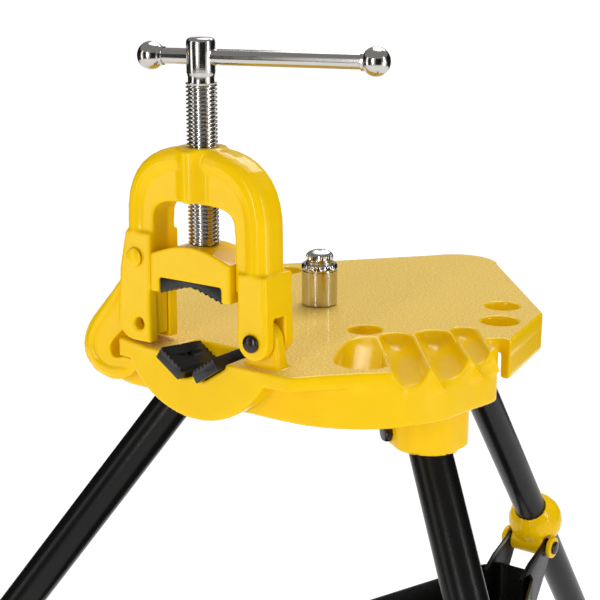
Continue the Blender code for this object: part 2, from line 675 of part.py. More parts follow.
def make_yoke():
    """The hinged yoke: outer rib, inner flange that guides the upper jaw, screw boss and two forks."""
    outer = (RIB_OUT_X + RIB_IN_X) / 2
    flange = [(outer, RIB_FOOT_Z)] + crown(outer, SPRING_Z, RIB_TOP_Z - (RIB_OUT_X - RIB_IN_X) / 2, CROWN_POWER, 18)
    flange.append((-outer, RIB_FOOT_Z))
    flange.append((-FLANGE_X, RIB_FOOT_Z))
    flange += list(reversed(crown(FLANGE_X, SPRING_Z, FLANGE_CROWN_Z, CROWN_POWER + 1, 18)))
    flange.append((FLANGE_X, RIB_FOOT_Z))
    yoke = place("yoke", swept_rib(), "yellow_enamel", at=(PIN_X, VISE_Y, PIN_Z))
    join(yoke, "flange", front_view(flange, VISE_Y - FLANGE_HALF_DEEP, VISE_Y + FLANGE_HALF_DEEP))
    join(yoke, "screw_boss", rod(BOSS_R, BOSS_LOW_Z, RIB_TOP_Z, Matrix.Translation((0, VISE_Y, 0)), 24))
    ear = arc(PIN_X, PIN_Z, EAR_R, 180, 360, 10)
    ear += [(EAR_OUT_X, EAR_TOP_Z), (EAR_IN_X, EAR_TOP_Z)]
    join(yoke, "hinge_ears", front_view(ear, VISE_Y - YOKE_HALF_DEEP, VISE_Y + YOKE_HALF_DEEP))
    latch = [(-FLANGE_X - GAP, LATCH_STEP_Z), (-LATCH_STEP_X, LATCH_STEP_Z)]
    latch.append((-LATCH_WIDE_X, LATCH_WIDE_Z))
    latch += arc(-LATCH_X, LATCH_Z, LATCH_R, 180, 270, 7)
    latch += [(-LATCH_IN_X, LATCH_Z - LATCH_R), (-LATCH_IN_X, LATCH_IN_Z), (-FLANGE_X - GAP, LATCH_IN_Z)]
    join(yoke, "latch_ears", front_view(latch, VISE_Y - YOKE_HALF_DEEP, VISE_Y + YOKE_HALF_DEEP))
    lug_room = LUG_HALF_DEEP + LUG_PLAY
    slot = [(EAR_IN_X - OVERRUN, PIN_Z - 2 * EAR_R), (EAR_OUT_X + OVERRUN, PIN_Z - 2 * EAR_R)]
    slot += arc(PIN_X, SLOT_TOP_Z, EAR_OUT_X - PIN_X + OVERRUN, 0, 180, 10)
    cut(yoke, "lug_slot", front_view(slot, VISE_Y - lug_room, VISE_Y + lug_room))
    hook_room = HOOK_HALF_THICK + HOOK_PLAY
    foot = LATCH_Z - LATCH_R - OVERRUN
    wide = LATCH_X + LATCH_R + OVERRUN
    slot = [(-wide, foot), (-FLANGE_X + OVERRUN, foot), (-FLANGE_X + OVERRUN, HOOK_Z)]
    top_deg = HOOK_HEAD_DEG - HOOK_OPEN_DEG
    top = arc(HOOK_X, HOOK_Z, HOOK_SLOT_R, 0, top_deg, 8)
    fall = math.radians(top_deg - 90)
    slot += top + [(-wide, top[-1][1] - (wide + top[-1][0]) * math.tan(fall))]
    cut(yoke, "hook_slot", front_view(slot, VISE_Y - hook_room, VISE_Y + hook_room))
    reach = YOKE_HALF_DEEP + OVERRUN
    cut(yoke, "hinge_bore", rod(HINGE_PIN_R + GAP, -reach, reach, beside(PIN_X, PIN_Z), SMALL_STEPS))
    cut(yoke, "rivet_bore", rod(RIVET_R + GAP, -reach, reach, beside(HOOK_X, HOOK_Z), SMALL_STEPS))
    cut(yoke, "lock_hole", rod(LOCK_HOLE_R, -reach, -HOOK_HALF_THICK, beside(-LOCK_HOLE_X, LOCK_HOLE_Z), SMALL_STEPS))
    screw_room = rod(SCREW_R + SCREW_PLAY, BOSS_LOW_Z - OVERRUN, RIB_TOP_Z + OVERRUN, Matrix.Translation((0, VISE_Y, 0)))
    cut(yoke, "screw_bore", screw_room)
    return yoke


def headed_pin(name, frame, radius, reach, head_radius, head_tall, look, at):
    """A pin with a domed head in front and a riveted end behind."""
    dome = [(head_radius * math.cos(a), -reach - GAP - head_tall * math.sin(a)) for a in (math.pi / 2, 1, 0.5, 0)]
    dome[0] = (0, dome[0][1])
    shaft = [(radius, -reach - GAP), (radius, reach + GAP)]
    tail = [(head_radius, reach + GAP), (head_radius * CORNER_SHARE, reach + GAP + head_tall / 2)]
    return place(name, turned(dome + shaft + tail + [(0, reach + GAP + head_tall / 2)], frame, 20), look, at=at)


def hook_outline():
    """The J hook from the front: round head, straight shank beside the yoke, and the lip under the nose."""
    head = arc(HOOK_X, HOOK_Z, HOOK_HEAD_R, 0, HOOK_HEAD_DEG, 9)
    back = curve([head[-1]] + list(HOOK_BACK) + list(HOOK_LIP[:1]), 3)[1:]
    lip = curve(HOOK_LIP, 3)[1:]
    throat = curve(HOOK_THROAT, 3)
    return head + back + lip + throat + list(HOOK_SHANK)


def make_hook():
    front, back = VISE_Y - HOOK_HALF_THICK, VISE_Y + HOOK_HALF_THICK
    hook = place("hook", front_view(hook_outline(), front, back), "yellow_enamel", at=(HOOK_X, VISE_Y, HOOK_Z))
    cut(hook, "hook_bore", rod(RIVET_R + GAP, -OVERRUN * 2, OVERRUN * 2, beside(HOOK_X, HOOK_Z), SMALL_STEPS))
    return hook


def make_clamp():
    """Clamp screw, saddle, upper jaw and the sliding handle bar with its two balls."""
    axis = Matrix.Translation((0, VISE_Y, 0))
    profile = [
        (0, SCREW_END_Z),
        (SCREW_NECK_R, SCREW_END_Z),
        (SCREW_NECK_R, SCREW_NECK_Z),
        (SCREW_R - SCREW_BEVEL, SCREW_NECK_Z),
        (SCREW_R, SCREW_NECK_Z + SCREW_BEVEL),
        (SCREW_R, SCREW_HEAD_Z - SCREW_BEVEL),
        (SCREW_HEAD_R - SCREW_BEVEL, SCREW_HEAD_Z),
        (SCREW_HEAD_R, SCREW_HEAD_Z + SCREW_BEVEL),
        (SCREW_HEAD_R, SCREW_TOP_Z - SCREW_BEVEL),
        (SCREW_HEAD_R - SCREW_BEVEL, SCREW_TOP_Z),
        (0, SCREW_TOP_Z),
    ]
    screw = place("clamp_screw", turned(profile, axis), "chrome_steel", at=(0, VISE_Y, SCREW_END_Z))
    way = Vector((math.cos(BAR_WAY), math.sin(BAR_WAY), 0))
    bar_frame = along((0, VISE_Y, BAR_Z), way)
    cut(screw, "bar_bore", rod(BAR_R + GAP, -2 * SCREW_R, 2 * SCREW_R, bar_frame, 20))
    place("handle_bar", rod(BAR_R, -BAR_SHORT, BAR_LONG, bar_frame, 20), "chrome_steel", at=(0, VISE_Y, BAR_Z))
    for name, end in (("handle_ball_left", -BAR_SHORT), ("handle_ball_right", BAR_LONG)):
        centre = Vector((0, VISE_Y, BAR_Z)) + way * end
        knob = place(name, ball(BALL_R, centre, 18), "chrome_steel", at=centre)
        if end < 0:
            seat = rod(BAR_R + GAP, end - GAP, end + 2 * BALL_R, bar_frame, 20)
        else:
            seat = rod(BAR_R + GAP, end - 2 * BALL_R, end + GAP, bar_frame, 20)
        cut(knob, f"{name}_seat", seat)
    roof = [
        (-SADDLE_X + (2 * SADDLE_X) * n / 12, SADDLE_SIDE_Z + (SADDLE_TOP_Z - SADDLE_SIDE_Z) * math.sin(math.pi * n / 12))
        for n in range(13)
    ]
    under = [(SADDLE_X, SADDLE_CHEEK_Z), (UPPER_JAW_X + 2 * GAP, SADDLE_CHEEK_Z)]
    under += [(UPPER_JAW_X + 2 * GAP, UPPER_JAW_ROOF_Z + GAP), (-UPPER_JAW_X - 2 * GAP, UPPER_JAW_ROOF_Z + GAP)]
    under += [(-UPPER_JAW_X - 2 * GAP, SADDLE_CHEEK_Z), (-SADDLE_X, SADDLE_CHEEK_Z)]
    front, back = VISE_Y - SADDLE_HALF_DEEP, VISE_Y + SADDLE_HALF_DEEP
    saddle = place("jaw_saddle", front_view(roof + under, front, back), "yellow_enamel", at=(0, VISE_Y, SADDLE_LOW_Z))
    cut(saddle, "neck_bore", rod(SCREW_NECK_R + GAP, SCREW_END_Z - GAP, SADDLE_TOP_Z + OVERRUN, axis, 24))
    jaw_sides = [(-UPPER_JAW_X, UPPER_JAW_ROOF_Z), (-UPPER_JAW_X, UPPER_JAW_TIP_Z)]
    vee = []
    for tooth in range(JAW_TEETH):
        share = tooth / JAW_TEETH
        x = -UPPER_JAW_X * (1 - share)
        z = UPPER_JAW_TIP_Z + UPPER_JAW_V * share
        vee.append((x, z))
        vee.append((x + UPPER_JAW_X / JAW_TEETH, z + UPPER_JAW_V / JAW_TEETH + TOOTH_DEEP))
    vee[-1] = (0, UPPER_JAW_TIP_Z + UPPER_JAW_V)
    outline = [jaw_sides[0]] + vee + [(-x, z) for x, z in reversed(vee[:-1])] + [(UPPER_JAW_X, UPPER_JAW_ROOF_Z)]
    deep = UPPER_JAW_HALF_DEEP
    place("upper_jaw", front_view(outline, VISE_Y - deep, VISE_Y + deep), "jaw_steel", at=(0, VISE_Y, UPPER_JAW_TIP_Z))


def make_brace_screw():
    """The ceiling brace screw: its threaded shaft passes the boss, and its head stands on the plate."""
    top = TOP_Z + GAP
    profile = [
        (0, TOP_Z - BRACE_SHAFT_DEEP),
        (BRACE_SHAFT_R - BRACE_SEAM, TOP_Z - BRACE_SHAFT_DEEP),
        (BRACE_SHAFT_R, TOP_Z - BRACE_SHAFT_DEEP + BRACE_SEAM),
        (BRACE_SHAFT_R, top),
        (BRACE_HEAD_R, top),
        (BRACE_HEAD_R, BRACE_SHOULDER_Z - BRACE_SEAM),
        (BRACE_HEAD_R - BRACE_SEAM, BRACE_SHOULDER_Z),
        (BRACE_CAP_R, BRACE_SHOULDER_Z),
        (BRACE_CAP_R, BRACE_CAP_Z),
    ]
    rise = BRACE_TOP_Z - BRACE_CAP_Z
    for step in (1, 2, 3):
        angle = math.pi / 8 * step
        profile.append((BRACE_CAP_R * math.cos(angle), BRACE_CAP_Z + rise * math.sin(angle)))
    profile.append((0, BRACE_TOP_Z))
    place("ceiling_screw", turned(profile, Matrix.Translation((BRACE_X, BRACE_Y, 0))), "chrome_steel", at=(BRACE_X, BRACE_Y, TOP_Z))


def make_leg(leg):
    """One leg tube with its pivot bolt, foot and collar."""
    axis = leg.axis()
    foot_end = FOOT_ALONG - FOOT_FLOOR - FOOT_R * math.tan(SPLAY)
    tube_end = foot_end
    wall = [
        (TUBE_R, -TUBE_HEAD),
        (TUBE_R, tube_end),
        (TUBE_R - TUBE_WALL, tube_end),
        (TUBE_R - TUBE_WALL, -TUBE_HEAD),
        (TUBE_R, -TUBE_HEAD),
    ]
    tube = place(f"leg_{leg.name}", turned(wall, axis, 24), "black_enamel", at=leg.pivot)
    bolt_way = along(leg.pivot, leg.side)
    cut(tube, f"{leg.name}_leg_hole", rod(BOLT_R + GAP, -2 * TUBE_R, 2 * TUBE_R, bolt_way, SMALL_STEPS))
    head = CUP_R + GAP
    bolt = [
        (0, -head - BOLT_HEAD_THICK),
        (BOLT_HEAD_R, -head - BOLT_HEAD_THICK),
        (BOLT_HEAD_R, -head),
        (BOLT_R, -head),
        (BOLT_R, head),
        (BOLT_HEAD_R, head),
        (BOLT_HEAD_R, head + BOLT_HEAD_THICK),
        (0, head + BOLT_HEAD_THICK),
    ]
    place(f"leg_bolt_{leg.name}", turned(bolt, bolt_way, 12), "pin_steel", at=leg.pivot)
    make_foot(leg, axis, foot_end)
    make_collar(leg, axis)


def make_foot(leg, axis, foot_end):
    """A rubber foot on the tube's end, cut level with the floor."""
    bore = TUBE_R + GAP
    profile = [
        (0, foot_end + GAP),
        (bore, foot_end + GAP),
        (bore, foot_end - FOOT_LONG),
        (bore + FOOT_WALL / 2, foot_end - FOOT_LONG),
        (FOOT_R, foot_end - FOOT_LONG + FOOT_R),
        (FOOT_R, FOOT_ALONG + FOOT_R),
        (0, FOOT_ALONG + FOOT_R),
    ]
    foot = place(f"foot_{leg.name}", turned(profile, axis, 24), "black_rubber", at=leg.point(FOOT_REACH, 0))
    reach = 3 * FOOT_R
    floor = [(-reach, -reach), (reach, -reach), (reach, reach), (-reach, reach)]
    cut(foot, f"{leg.name}_floor", prism(floor, -2 * reach, 0, Matrix.Translation(leg.point(FOOT_REACH, 0))))


def make_collar(leg, axis):
    """The yellow collar cast round the leg, with the lug and the pin that carry the tray."""
    barrel = []
    for step in range(9):
        share = step / 8
        height = -COLLAR_HALF_LONG + 2 * COLLAR_HALF_LONG * share
        barrel.append((math.sqrt(COLLAR_R**2 - height**2), PIN_ALONG - COLLAR_BACK + height))
    barrel = [(0, barrel[0][1])] + barrel + [(0, barrel[-1][1])]
    collar = place(f"collar_{leg.name}", turned(barrel, axis, 20), "yellow_enamel", at=leg.spot(COLLAR_PIN))
    pin_way = along(leg.spot(COLLAR_PIN), leg.side)
    low = -RAIL_LUG if leg.hand < 0 else -COLLAR_HALF_WIDE
    high = RAIL_LUG if leg.hand > 0 else COLLAR_HALF_WIDE
    join(collar, f"{leg.name}_collar_lug", rod(COLLAR_LUG_R, low, high, pin_way, 20))
    cut(collar, f"{leg.name}_collar_bore", rod(TUBE_R + GAP, 0, FOOT_ALONG, axis, 24))
    if not leg.hand:
        cut_arm_slots(collar, axis)
    cut(collar, f"{leg.name}_pin_bore", rod(COLLAR_PIN_R + GAP, -2 * COLLAR_R, 2 * COLLAR_R, pin_way, SMALL_STEPS))
    low = -PIN_FAR if leg.hand < 0 else low - GAP
    high = PIN_FAR if leg.hand > 0 else high + GAP
    pin = [
        (0, low - COLLAR_PIN_HEAD),
        (COLLAR_PIN_HEAD_R, low - COLLAR_PIN_HEAD),
        (COLLAR_PIN_HEAD_R, low),
        (COLLAR_PIN_R, low),
        (COLLAR_PIN_R, high),
        (COLLAR_PIN_HEAD_R, high),
        (COLLAR_PIN_HEAD_R, high + COLLAR_PIN_HEAD),
        (0, high + COLLAR_PIN_HEAD),
    ]
    place(f"collar_pin_{leg.name}", turned(pin, pin_way, SMALL_STEPS), "pin_steel", at=leg.spot(COLLAR_PIN))


def cut_arm_slots(collar, axis):
    """Two slots across the rear collar's lug, where the tray's arms turn on its pin."""
    slot_in = ARM_IN - SLOT_PLAY
    slot_out = ARM_IN + ARM_THICK + SLOT_PLAY
    room = COLLAR_LUG_R + SWEEP_PLAY
    slot = [
        (PIN_INWARD - room, PIN_ALONG - room),
        (PIN_INWARD - room, PIN_ALONG + COLLAR_R),
        (PIN_INWARD + 2 * room, PIN_ALONG + COLLAR_R),
        (PIN_INWARD + 2 * room, PIN_ALONG - room),
    ]
    frame = axis @ Matrix(((1, 0, 0, 0), (0, 0, -1, 0), (0, 1, 0, 0), (0, 0, 0, 1)))
    for side, low, high in (("left", -slot_out, -slot_in), ("right", slot_in, slot_out)):
        cut(collar, f"{side}_arm_slot", prism(slot, low, high, frame))


def rail_frame(leg):
    """A frame at a front collar's pin: X back along the pin's path in the tray, Y up, Z across the path."""
    way = (LEGS[2].out - leg.out).normalized()
    turn = Matrix((way, (0, 0, 1), way.cross((0, 0, 1)))).transposed()
    return Matrix.Translation(leg.spot(COLLAR_PIN)) @ turn.to_4x4()


def tray_outline(inset):
    """The tray from above: straight sides along the rails, then drawn in to a narrow tail at the rear leg."""
    leg = LEGS[1]
    frame = rail_frame(leg)
    back = RAIL_START + RAIL_TRAVEL + COLLAR_PIN_R + RAIL_BLEND
    wall = leg.hand * (RAIL_IN + GAP + inset)
    edge = frame @ Vector((0, 0, wall))
    way = frame.to_3x3() @ Vector((1, 0, 0))
    front = (TRAY_FRONT_Y + inset - edge.y) / way.y
    right = [tuple((edge + way * front).xy), tuple((edge + way * back).xy)]
    right += [(x - inset, y - inset / 2) for x, y in TRAY_TAIL]
    return mirrored(right)


def make_tray():
    """The brace tray: a deep pan with two arms on the rear collar's pin and a slotted rail at each side."""
    pan = prism(tray_outline(0), TRAY_LOW_Z, TRAY_RIM_Z)
    tray = place("brace_tray", pan, "black_enamel", at=LEGS[2].spot(COLLAR_PIN))
    cut(tray, "tray_inside", prism(tray_outline(TRAY_WALL), TRAY_LOW_Z + TRAY_FLOOR, TRAY_RIM_Z + OVERRUN))
    slot_r = COLLAR_PIN_R + GAP
    slot_start = RAIL_START - COLLAR_PIN_R / 2
    slot_end = RAIL_START + RAIL_TRAVEL + COLLAR_PIN_R / 2
    pin_z = PIVOT_Z + COLLAR_PIN.y
    for leg in LEGS[:2]:
        frame = rail_frame(leg)
        edge = frame @ Vector((0, 0, leg.hand * RAIL_IN))
        corner = (TRAY_FRONT_Y + TRAY_WALL - edge.y) / frame.col[0].y
        back = slot_end + slot_r + RAIL_BLEND
        rail = arc(slot_start, 0, slot_r + RAIL_EDGE, 90, 240, 8)
        rail += [(corner, TRAY_LOW_Z + GAP - pin_z), (back - RAIL_EDGE, TRAY_LOW_Z + GAP - pin_z)]
        rail += [(back - RAIL_EDGE, TRAY_RIM_Z - GAP - pin_z), (slot_end + slot_r, slot_r + RAIL_EDGE)]
        faces = sorted((leg.hand * RAIL_IN, leg.hand * (RAIL_IN + RAIL_THICK)))
        join(tray, f"{leg.name}_rail", prism(rail, *faces, frame))
        slot = arc(slot_start, 0, slot_r, 90, 270, 8) + arc(slot_end, 0, slot_r, -90, 90, 8)
        faces = sorted((leg.hand * (RAIL_IN - OVERRUN), leg.hand * (RAIL_IN + RAIL_THICK + OVERRUN)))
        cut(tray, f"{leg.name}_rail_slot", prism(slot, *faces, frame))
    rear = LEGS[2]
    arm = arc(0, 0, ARM_R, 100, -60, 8) + list(ARM_FALL) + list(ARM_RISE)
    for side, low in (("left", -ARM_IN - ARM_THICK), ("right", ARM_IN)):
        join(tray, f"{side}_arm", prism(arm, low, low + ARM_THICK, rear.plane(COLLAR_PIN)))
    bore = rod(COLLAR_PIN_R + GAP, -2 * COLLAR_R, 2 * COLLAR_R, along(rear.spot(COLLAR_PIN), rear.side), SMALL_STEPS)
    cut(tray, "arm_bore", bore)


def make_pins():
    """The yoke's hinge pin and the hook's rivet."""
    headed_pin(
        "yoke_hinge_pin",
        beside(PIN_X, PIN_Z),
        HINGE_PIN_R,
        YOKE_HALF_DEEP,
        HINGE_HEAD_R,
        HINGE_HEAD_TALL,
        "pin_steel",
        (PIN_X, VISE_Y, PIN_Z),
    )
    headed_pin(
        "hook_rivet",
        beside(HOOK_X, HOOK_Z),
        RIVET_R,
        YOKE_HALF_DEEP,
        RIVET_HEAD_R,
        RIVET_HEAD_TALL,
        "yellow_enamel",
        (HOOK_X, VISE_Y, HOOK_Z),
    )


def settle():
    """Carry out every piece's booleans, drop their helper shapes and mark the sharp edges of the result."""
    bpy.context.view_layer.update()
    graph = bpy.context.evaluated_depsgraph_get()
    pieces = [thing for thing in bpy.data.objects if thing.modifiers]
    finished = [(piece, bpy.data.meshes.new_from_object(piece.evaluated_get(graph))) for piece in pieces]
    for piece, mesh in finished:
        piece.modifiers.clear()
        mesh.name = piece.name
        piece.data = mesh
        mesh.shade_smooth()
        mesh.set_sharp_from_angle(angle=math.radians(SHARP_DEG))
    for shape in [thing for thing in bpy.data.objects if thing.display_type == "WIRE"]:
        bpy.data.objects.remove(shape)


clear_scene()
STAND = bpy.data.objects.new("stand", None)
bpy.context.scene.collection.objects.link(STAND)
STAND.location = (0, -MIDDLE_Y, 0)
make_base_casting()
make_lower_jaws()
make_yoke()
make_hook()
make_pins()
make_clamp()
make_brace_screw()
for each_leg in LEGS:
    make_leg(each_leg)
make_tray()
settle()
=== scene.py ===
"""Looks of the yoke vise tristand: cast enamel, black legs, plated screws, studio and camera."""

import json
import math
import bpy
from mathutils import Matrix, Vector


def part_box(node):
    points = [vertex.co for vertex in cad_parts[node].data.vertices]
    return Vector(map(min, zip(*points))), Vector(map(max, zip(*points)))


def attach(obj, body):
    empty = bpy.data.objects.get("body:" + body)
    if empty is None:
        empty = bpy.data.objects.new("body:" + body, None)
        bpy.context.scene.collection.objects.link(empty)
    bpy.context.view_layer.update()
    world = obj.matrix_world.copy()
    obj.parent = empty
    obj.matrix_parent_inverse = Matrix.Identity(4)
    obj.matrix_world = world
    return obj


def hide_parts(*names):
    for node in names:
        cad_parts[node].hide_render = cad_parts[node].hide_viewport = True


bl_info = {
    "name": "Yoke vise tristand",
    "version": (1, 0, 0),
    "blender": (4, 5, 0),
    "location": "3D View > Sidebar > Tristand",
    "description": "Dresses the packed tristand in cast, chromed and enamelled surfaces and sets its studio",
    "category": "Add Mesh",
}

import bmesh
import bpy
import numpy as np
from bpy.props import FloatProperty, FloatVectorProperty, IntProperty, PointerProperty
from bpy.types import Operator, Panel, PropertyGroup
from mathutils import Vector

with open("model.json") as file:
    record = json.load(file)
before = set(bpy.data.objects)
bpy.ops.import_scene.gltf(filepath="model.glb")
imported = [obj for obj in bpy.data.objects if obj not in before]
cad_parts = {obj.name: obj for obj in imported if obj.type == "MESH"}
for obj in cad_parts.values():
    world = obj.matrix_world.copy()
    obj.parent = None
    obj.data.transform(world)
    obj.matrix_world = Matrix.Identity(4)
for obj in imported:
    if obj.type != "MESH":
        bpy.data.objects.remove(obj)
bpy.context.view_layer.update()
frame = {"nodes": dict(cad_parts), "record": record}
RECORD = frame["record"]
BODY_OF = {node: body for body, nodes in RECORD["behaviour"]["bodies"].items() for node in nodes}
SLOT_OF = {row["node"]: row["material_slot"] for row in RECORD["subparts"]}
JOINTS = {row["name"]: row for row in RECORD["behaviour"]["joints"]}
MOUNTS = {row["name"]: row for row in RECORD["mounts"]}
LEGS = ("rear", "front_left", "front_right")
UP = np.array((0.0, 0.0, 1.0))
BACK = np.array((0.0, 1.0, 0.0))

# Meshes: the most triangles of a casting, distances in metres, and angles in radians where not in degrees

MOST_TRIANGLES = 190000
NEW_MERGE = 1e-7
CAD_MERGE = 2e-6
FOOT_MERGE = 1e-6
OVERLAP = 0.001
POLE_ANGLE = 0.04
NEAR_UPRIGHT = 0.99
COPLANAR_DEG = 1

# Castings: the grid on which each is rebuilt, in metres, and its rounds of smoothing

SMOOTH_FACTOR = 0.5
YOKE_CAST = (0.00105, 10)
HOOK_CAST = (0.0009, 8)
SADDLE_CAST = (0.0009, 9)
COLLAR_CAST = (0.0009, 7)

# Wedges between the grooves: x and y from the bench top's mount, from and to along the groove, and half width

GROOVE_WAY = (0.629, -0.777)
GROOVE_WEDGES = (
    (0.0846, -0.1439, 0.040, 0.0945, 0.0120),
    (0.1086, -0.1245, 0.034, 0.0848, 0.0130),
    (0.1316, -0.0988, 0.016, 0.0640, 0.0125),
    (0.1401, -0.0766, 0.020, 0.0580, 0.0080),
)
WEDGE_CREST = 0.0012
WEDGE_BELOW_PLATE = 0.0006
WEDGE_DEEP = 0.0185
WEDGE_ROWS = 25

# Leg cups: half axes outwards and sideways, and the rise from the leg's pivot

CUP_LIP = (
    (0.0365, 0.0318, 0.032),
    (0.0365, 0.0316, 0.0),
    (0.0345, 0.0280, -0.0145),
    (0.0312, 0.0255, -0.0095),
    (0.0300, 0.0250, 0.032),
)
CUP_HALF_ARC_DEG = 80
CUP_ROWS = 33

# The yoke's boss round the clamp screw, with heights above the floor

BOSS_FACE = 0.0098
BOSS_SWELL = 0.0122
BOSS_HALF_WIDE = 0.0235
BOSS_SPREAD = 0.0130
BOSS_LOW = 0.9200
BOSS_TOP = 0.9595
BOSS_FALL = 0.0016
BOSS_BACK = 0.002
BOSS_COLUMNS = 41
BOSS_ROWS = 13

# The hook's ridge: x and height above the floor

HOOK_RIDGE = (
    (-0.0715, 0.8560),
    (-0.0960, 0.8240),
    (-0.1115, 0.8060),
    (-0.1180, 0.7910),
    (-0.1165, 0.7800),
    (-0.1100, 0.7722),
    (-0.0995, 0.7690),
    (-0.0870, 0.7700),
    (-0.0775, 0.7755),
)
RIDGE_BEFORE_SCREW = 0.0045
RIDGE_HALF_WIDE = 0.0050
RIDGE_HALF_DEEP = 0.0042
RIDGE_ROWS = 60
RIDGE_NEIGHBOURS = 5
RIDGE_TIP = 1e-3
BEAD_COLUMNS = 24

# Threads: rows for each turn, points round, the flanks' steepness and the run-out at both ends in turns

THREAD_ROWS = 18
THREAD_POINTS = 64
THREAD_FLANK = 1.35
THREAD_RUN_OUT = 1.2

# The clamp screw: insets from its thread's radius, then profile rows of inset and rise

CLAMP_HEAD_INSET = 0.0009
CLAMP_NECK_INSET = 0.0018
CLAMP_STUB_INSET = 0.0033
CLAMP_FILLET = ((0.0, -0.0024), (-0.0004, -0.0010))
CLAMP_SHOULDER = ((0.0003, 0.0), (0.0, 0.0008))
CLAMP_CROWN = ((0.0, -0.0034), (0.0004, -0.0018), (0.0014, -0.0006), (0.0030, 0.0), (0.0080, 0.0))
BALL_POLE_ANGLE = 0.03
BALL_NECK_ANGLE = 0.72
BALL_ROWS = 30
BALL_NECK = ((0.0, -0.0020), (0.0, -0.0004), (0.0005, 0.0))

# The ceiling brace screw: insets from its head's radius, then profile rows of inset, rise and notch depth

BRACE_SHAFT_INSET = 0.0042
BRACE_CAP_INSET = 0.0037
BRACE_CAP_TALL = 0.012
BRACE_THREAD_DROP = 0.0005
BRACE_NOTCHES = 32
BRACE_STEM = ((0.002, -0.002, 0), (0.002, 0.0003, 0))
BRACE_SEAT = ((0.0008, 0.0003, 0), (0.0, 0.0012, 0))
BRACE_BANDS = (
    (0.0, -0.0066, 0),
    (0.0011, -0.0060, 0),
    (0.0011, -0.0050, 0),
    (0.0, -0.0044, 0.0006),
    (0.0, -0.0012, 0.0006),
    (0.0010, 0.0, 0.0004),
)
BRACE_CAP = (
    (-0.0004, 0.0, 0),
    (0.0, 0.0004, 0),
    (0.0, 0.0020, 0),
    (0.0010, 0.0024, 0),
    (0.0010, 0.0034, 0),
    (0.0, 0.0038, 0.0008),
    (0.0, 0.0062, 0.0008),
)
BRACE_DOME_NOTCH = 0.0006
BRACE_DOME_ANGLES = (0.35, 0.7, 1.05, 1.35)

# Leg tubes and feet: the feet's rows of inset and rise at the mouth, and of share and depth for each rib

TUBE_EDGE = 0.0006
FOOT_MOUTH = ((0.0004, 0.004), (-0.0003, 0.0006), (-0.0010, 0.0), (-0.0018, 0.0006))
FOOT_PLAIN = 0.002
FOOT_TOE_SHARE = 1.1
FOOT_RIB = ((0.0, 0.0), (0.22, 0.0013), (0.60, 0.0013), (0.82, 0.0))

# Bolts and pins: shares of the head's radius or height, and lengths

BOLT_SHANK_SHARE = 0.62
BOLT_CHAMFER_SHARE = 0.22
BOLT_END_SHARE = 0.80
BOLT_FACE_SHARE = 0.86
BOLT_FLATS_SHARE = 0.885
BOLT_FACE_RISE = 0.0001
BOLT_NUT_INSET = 0.0004
PIN_SHANK_SHARE = 0.66
PIN_DOME_SHARE = 0.55
PIN_HEAD_TALL = 0.003
RIVET_EDGE_SHARE = 0.97
RIVET_SHANK_SHARE = 0.7
RIVET_STAND = 0.0003

# The tray's ribs: the first one's place from the tray's pin, and the steps from one rib to the next

RIBS_A_SIDE = 3
RIB_ABOVE_LOW = 0.003
RIB_FROM_PIN = -0.085
RIB_OUT = 0.014
RIB_OUT_STEP = 0.012
RIB_FRONT_STEP = -0.030
RIB_WAY = (0.340, -0.940)
RIB_LONG = 0.330
RIB_LONG_STEP = -0.055
RIB_ROWS = 33
RIB_TIP = 1e-4

# Broken edges of the sheet and forged pieces

BEVEL_SEGMENTS = 2
SHARP_DEG = 40
TRAY_EDGE = 0.0008
TRAY_EDGE_DEG = 30
JAW_EDGE = 0.00045
JAW_EDGE_DEG = 25

# Studio: the lights' name, distance, height and size in metres, and the cards' name and angles in degrees

AIM_BEHIND = 0.1
AIM_HEIGHT = 0.85
SOFTBOXES = (
    ("key", 2.3, 1.15, (1.2, 2.0)),
    ("strip", 2.2, 1.20, (0.13, 1.5)),
    ("fill", 2.3, 1.15, (0.6, 2.0)),
    ("side", 2.2, 1.15, (0.15, 2.0)),
    ("top", 1.5, 2.3, (1.4, 0.5)),
)
SOFTBOX_SPREAD_DEG = 150
CARDS = (("card_left", -125, -45), ("card_front", -30, 75), ("card_right", 118, 186))
CARD_COLOUR = (0.016, 0.015, 0.014)
CARD_COLUMNS = 25
OVERHEAD_WAY = (0.15, -0.45, -1.0)
OVERHEAD_DEG = 40
SENSOR_MM = 36
CLIP_START = 0.05

# Shader maths


class Signal:
    """A shader socket that adds Math nodes when it is used in an expression."""

    def __init__(self, paint, socket):
        self.paint = paint
        self.socket = socket

    def _math(self, operation, one, two, clamp=False):
        return self.paint.node("ShaderNodeMath", {"operation": operation, "use_clamp": clamp}, (one, two))

    def __add__(self, other):
        return self._math("ADD", self, other)

    def __radd__(self, other):
        return self._math("ADD", other, self)

    def __sub__(self, other):
        return self._math("SUBTRACT", self, other)

    def __rsub__(self, other):
        return self._math("SUBTRACT", other, self)

    def __mul__(self, other):
        return self._math("MULTIPLY", self, other)

    def __rmul__(self, other):
        return self._math("MULTIPLY", other, self)

    def above(self, start, gain):
        """Nought up to start, then rising by gain a unit as far as 1."""
        return self._math("ADD", (self - start) * gain, 0.0, clamp=True)


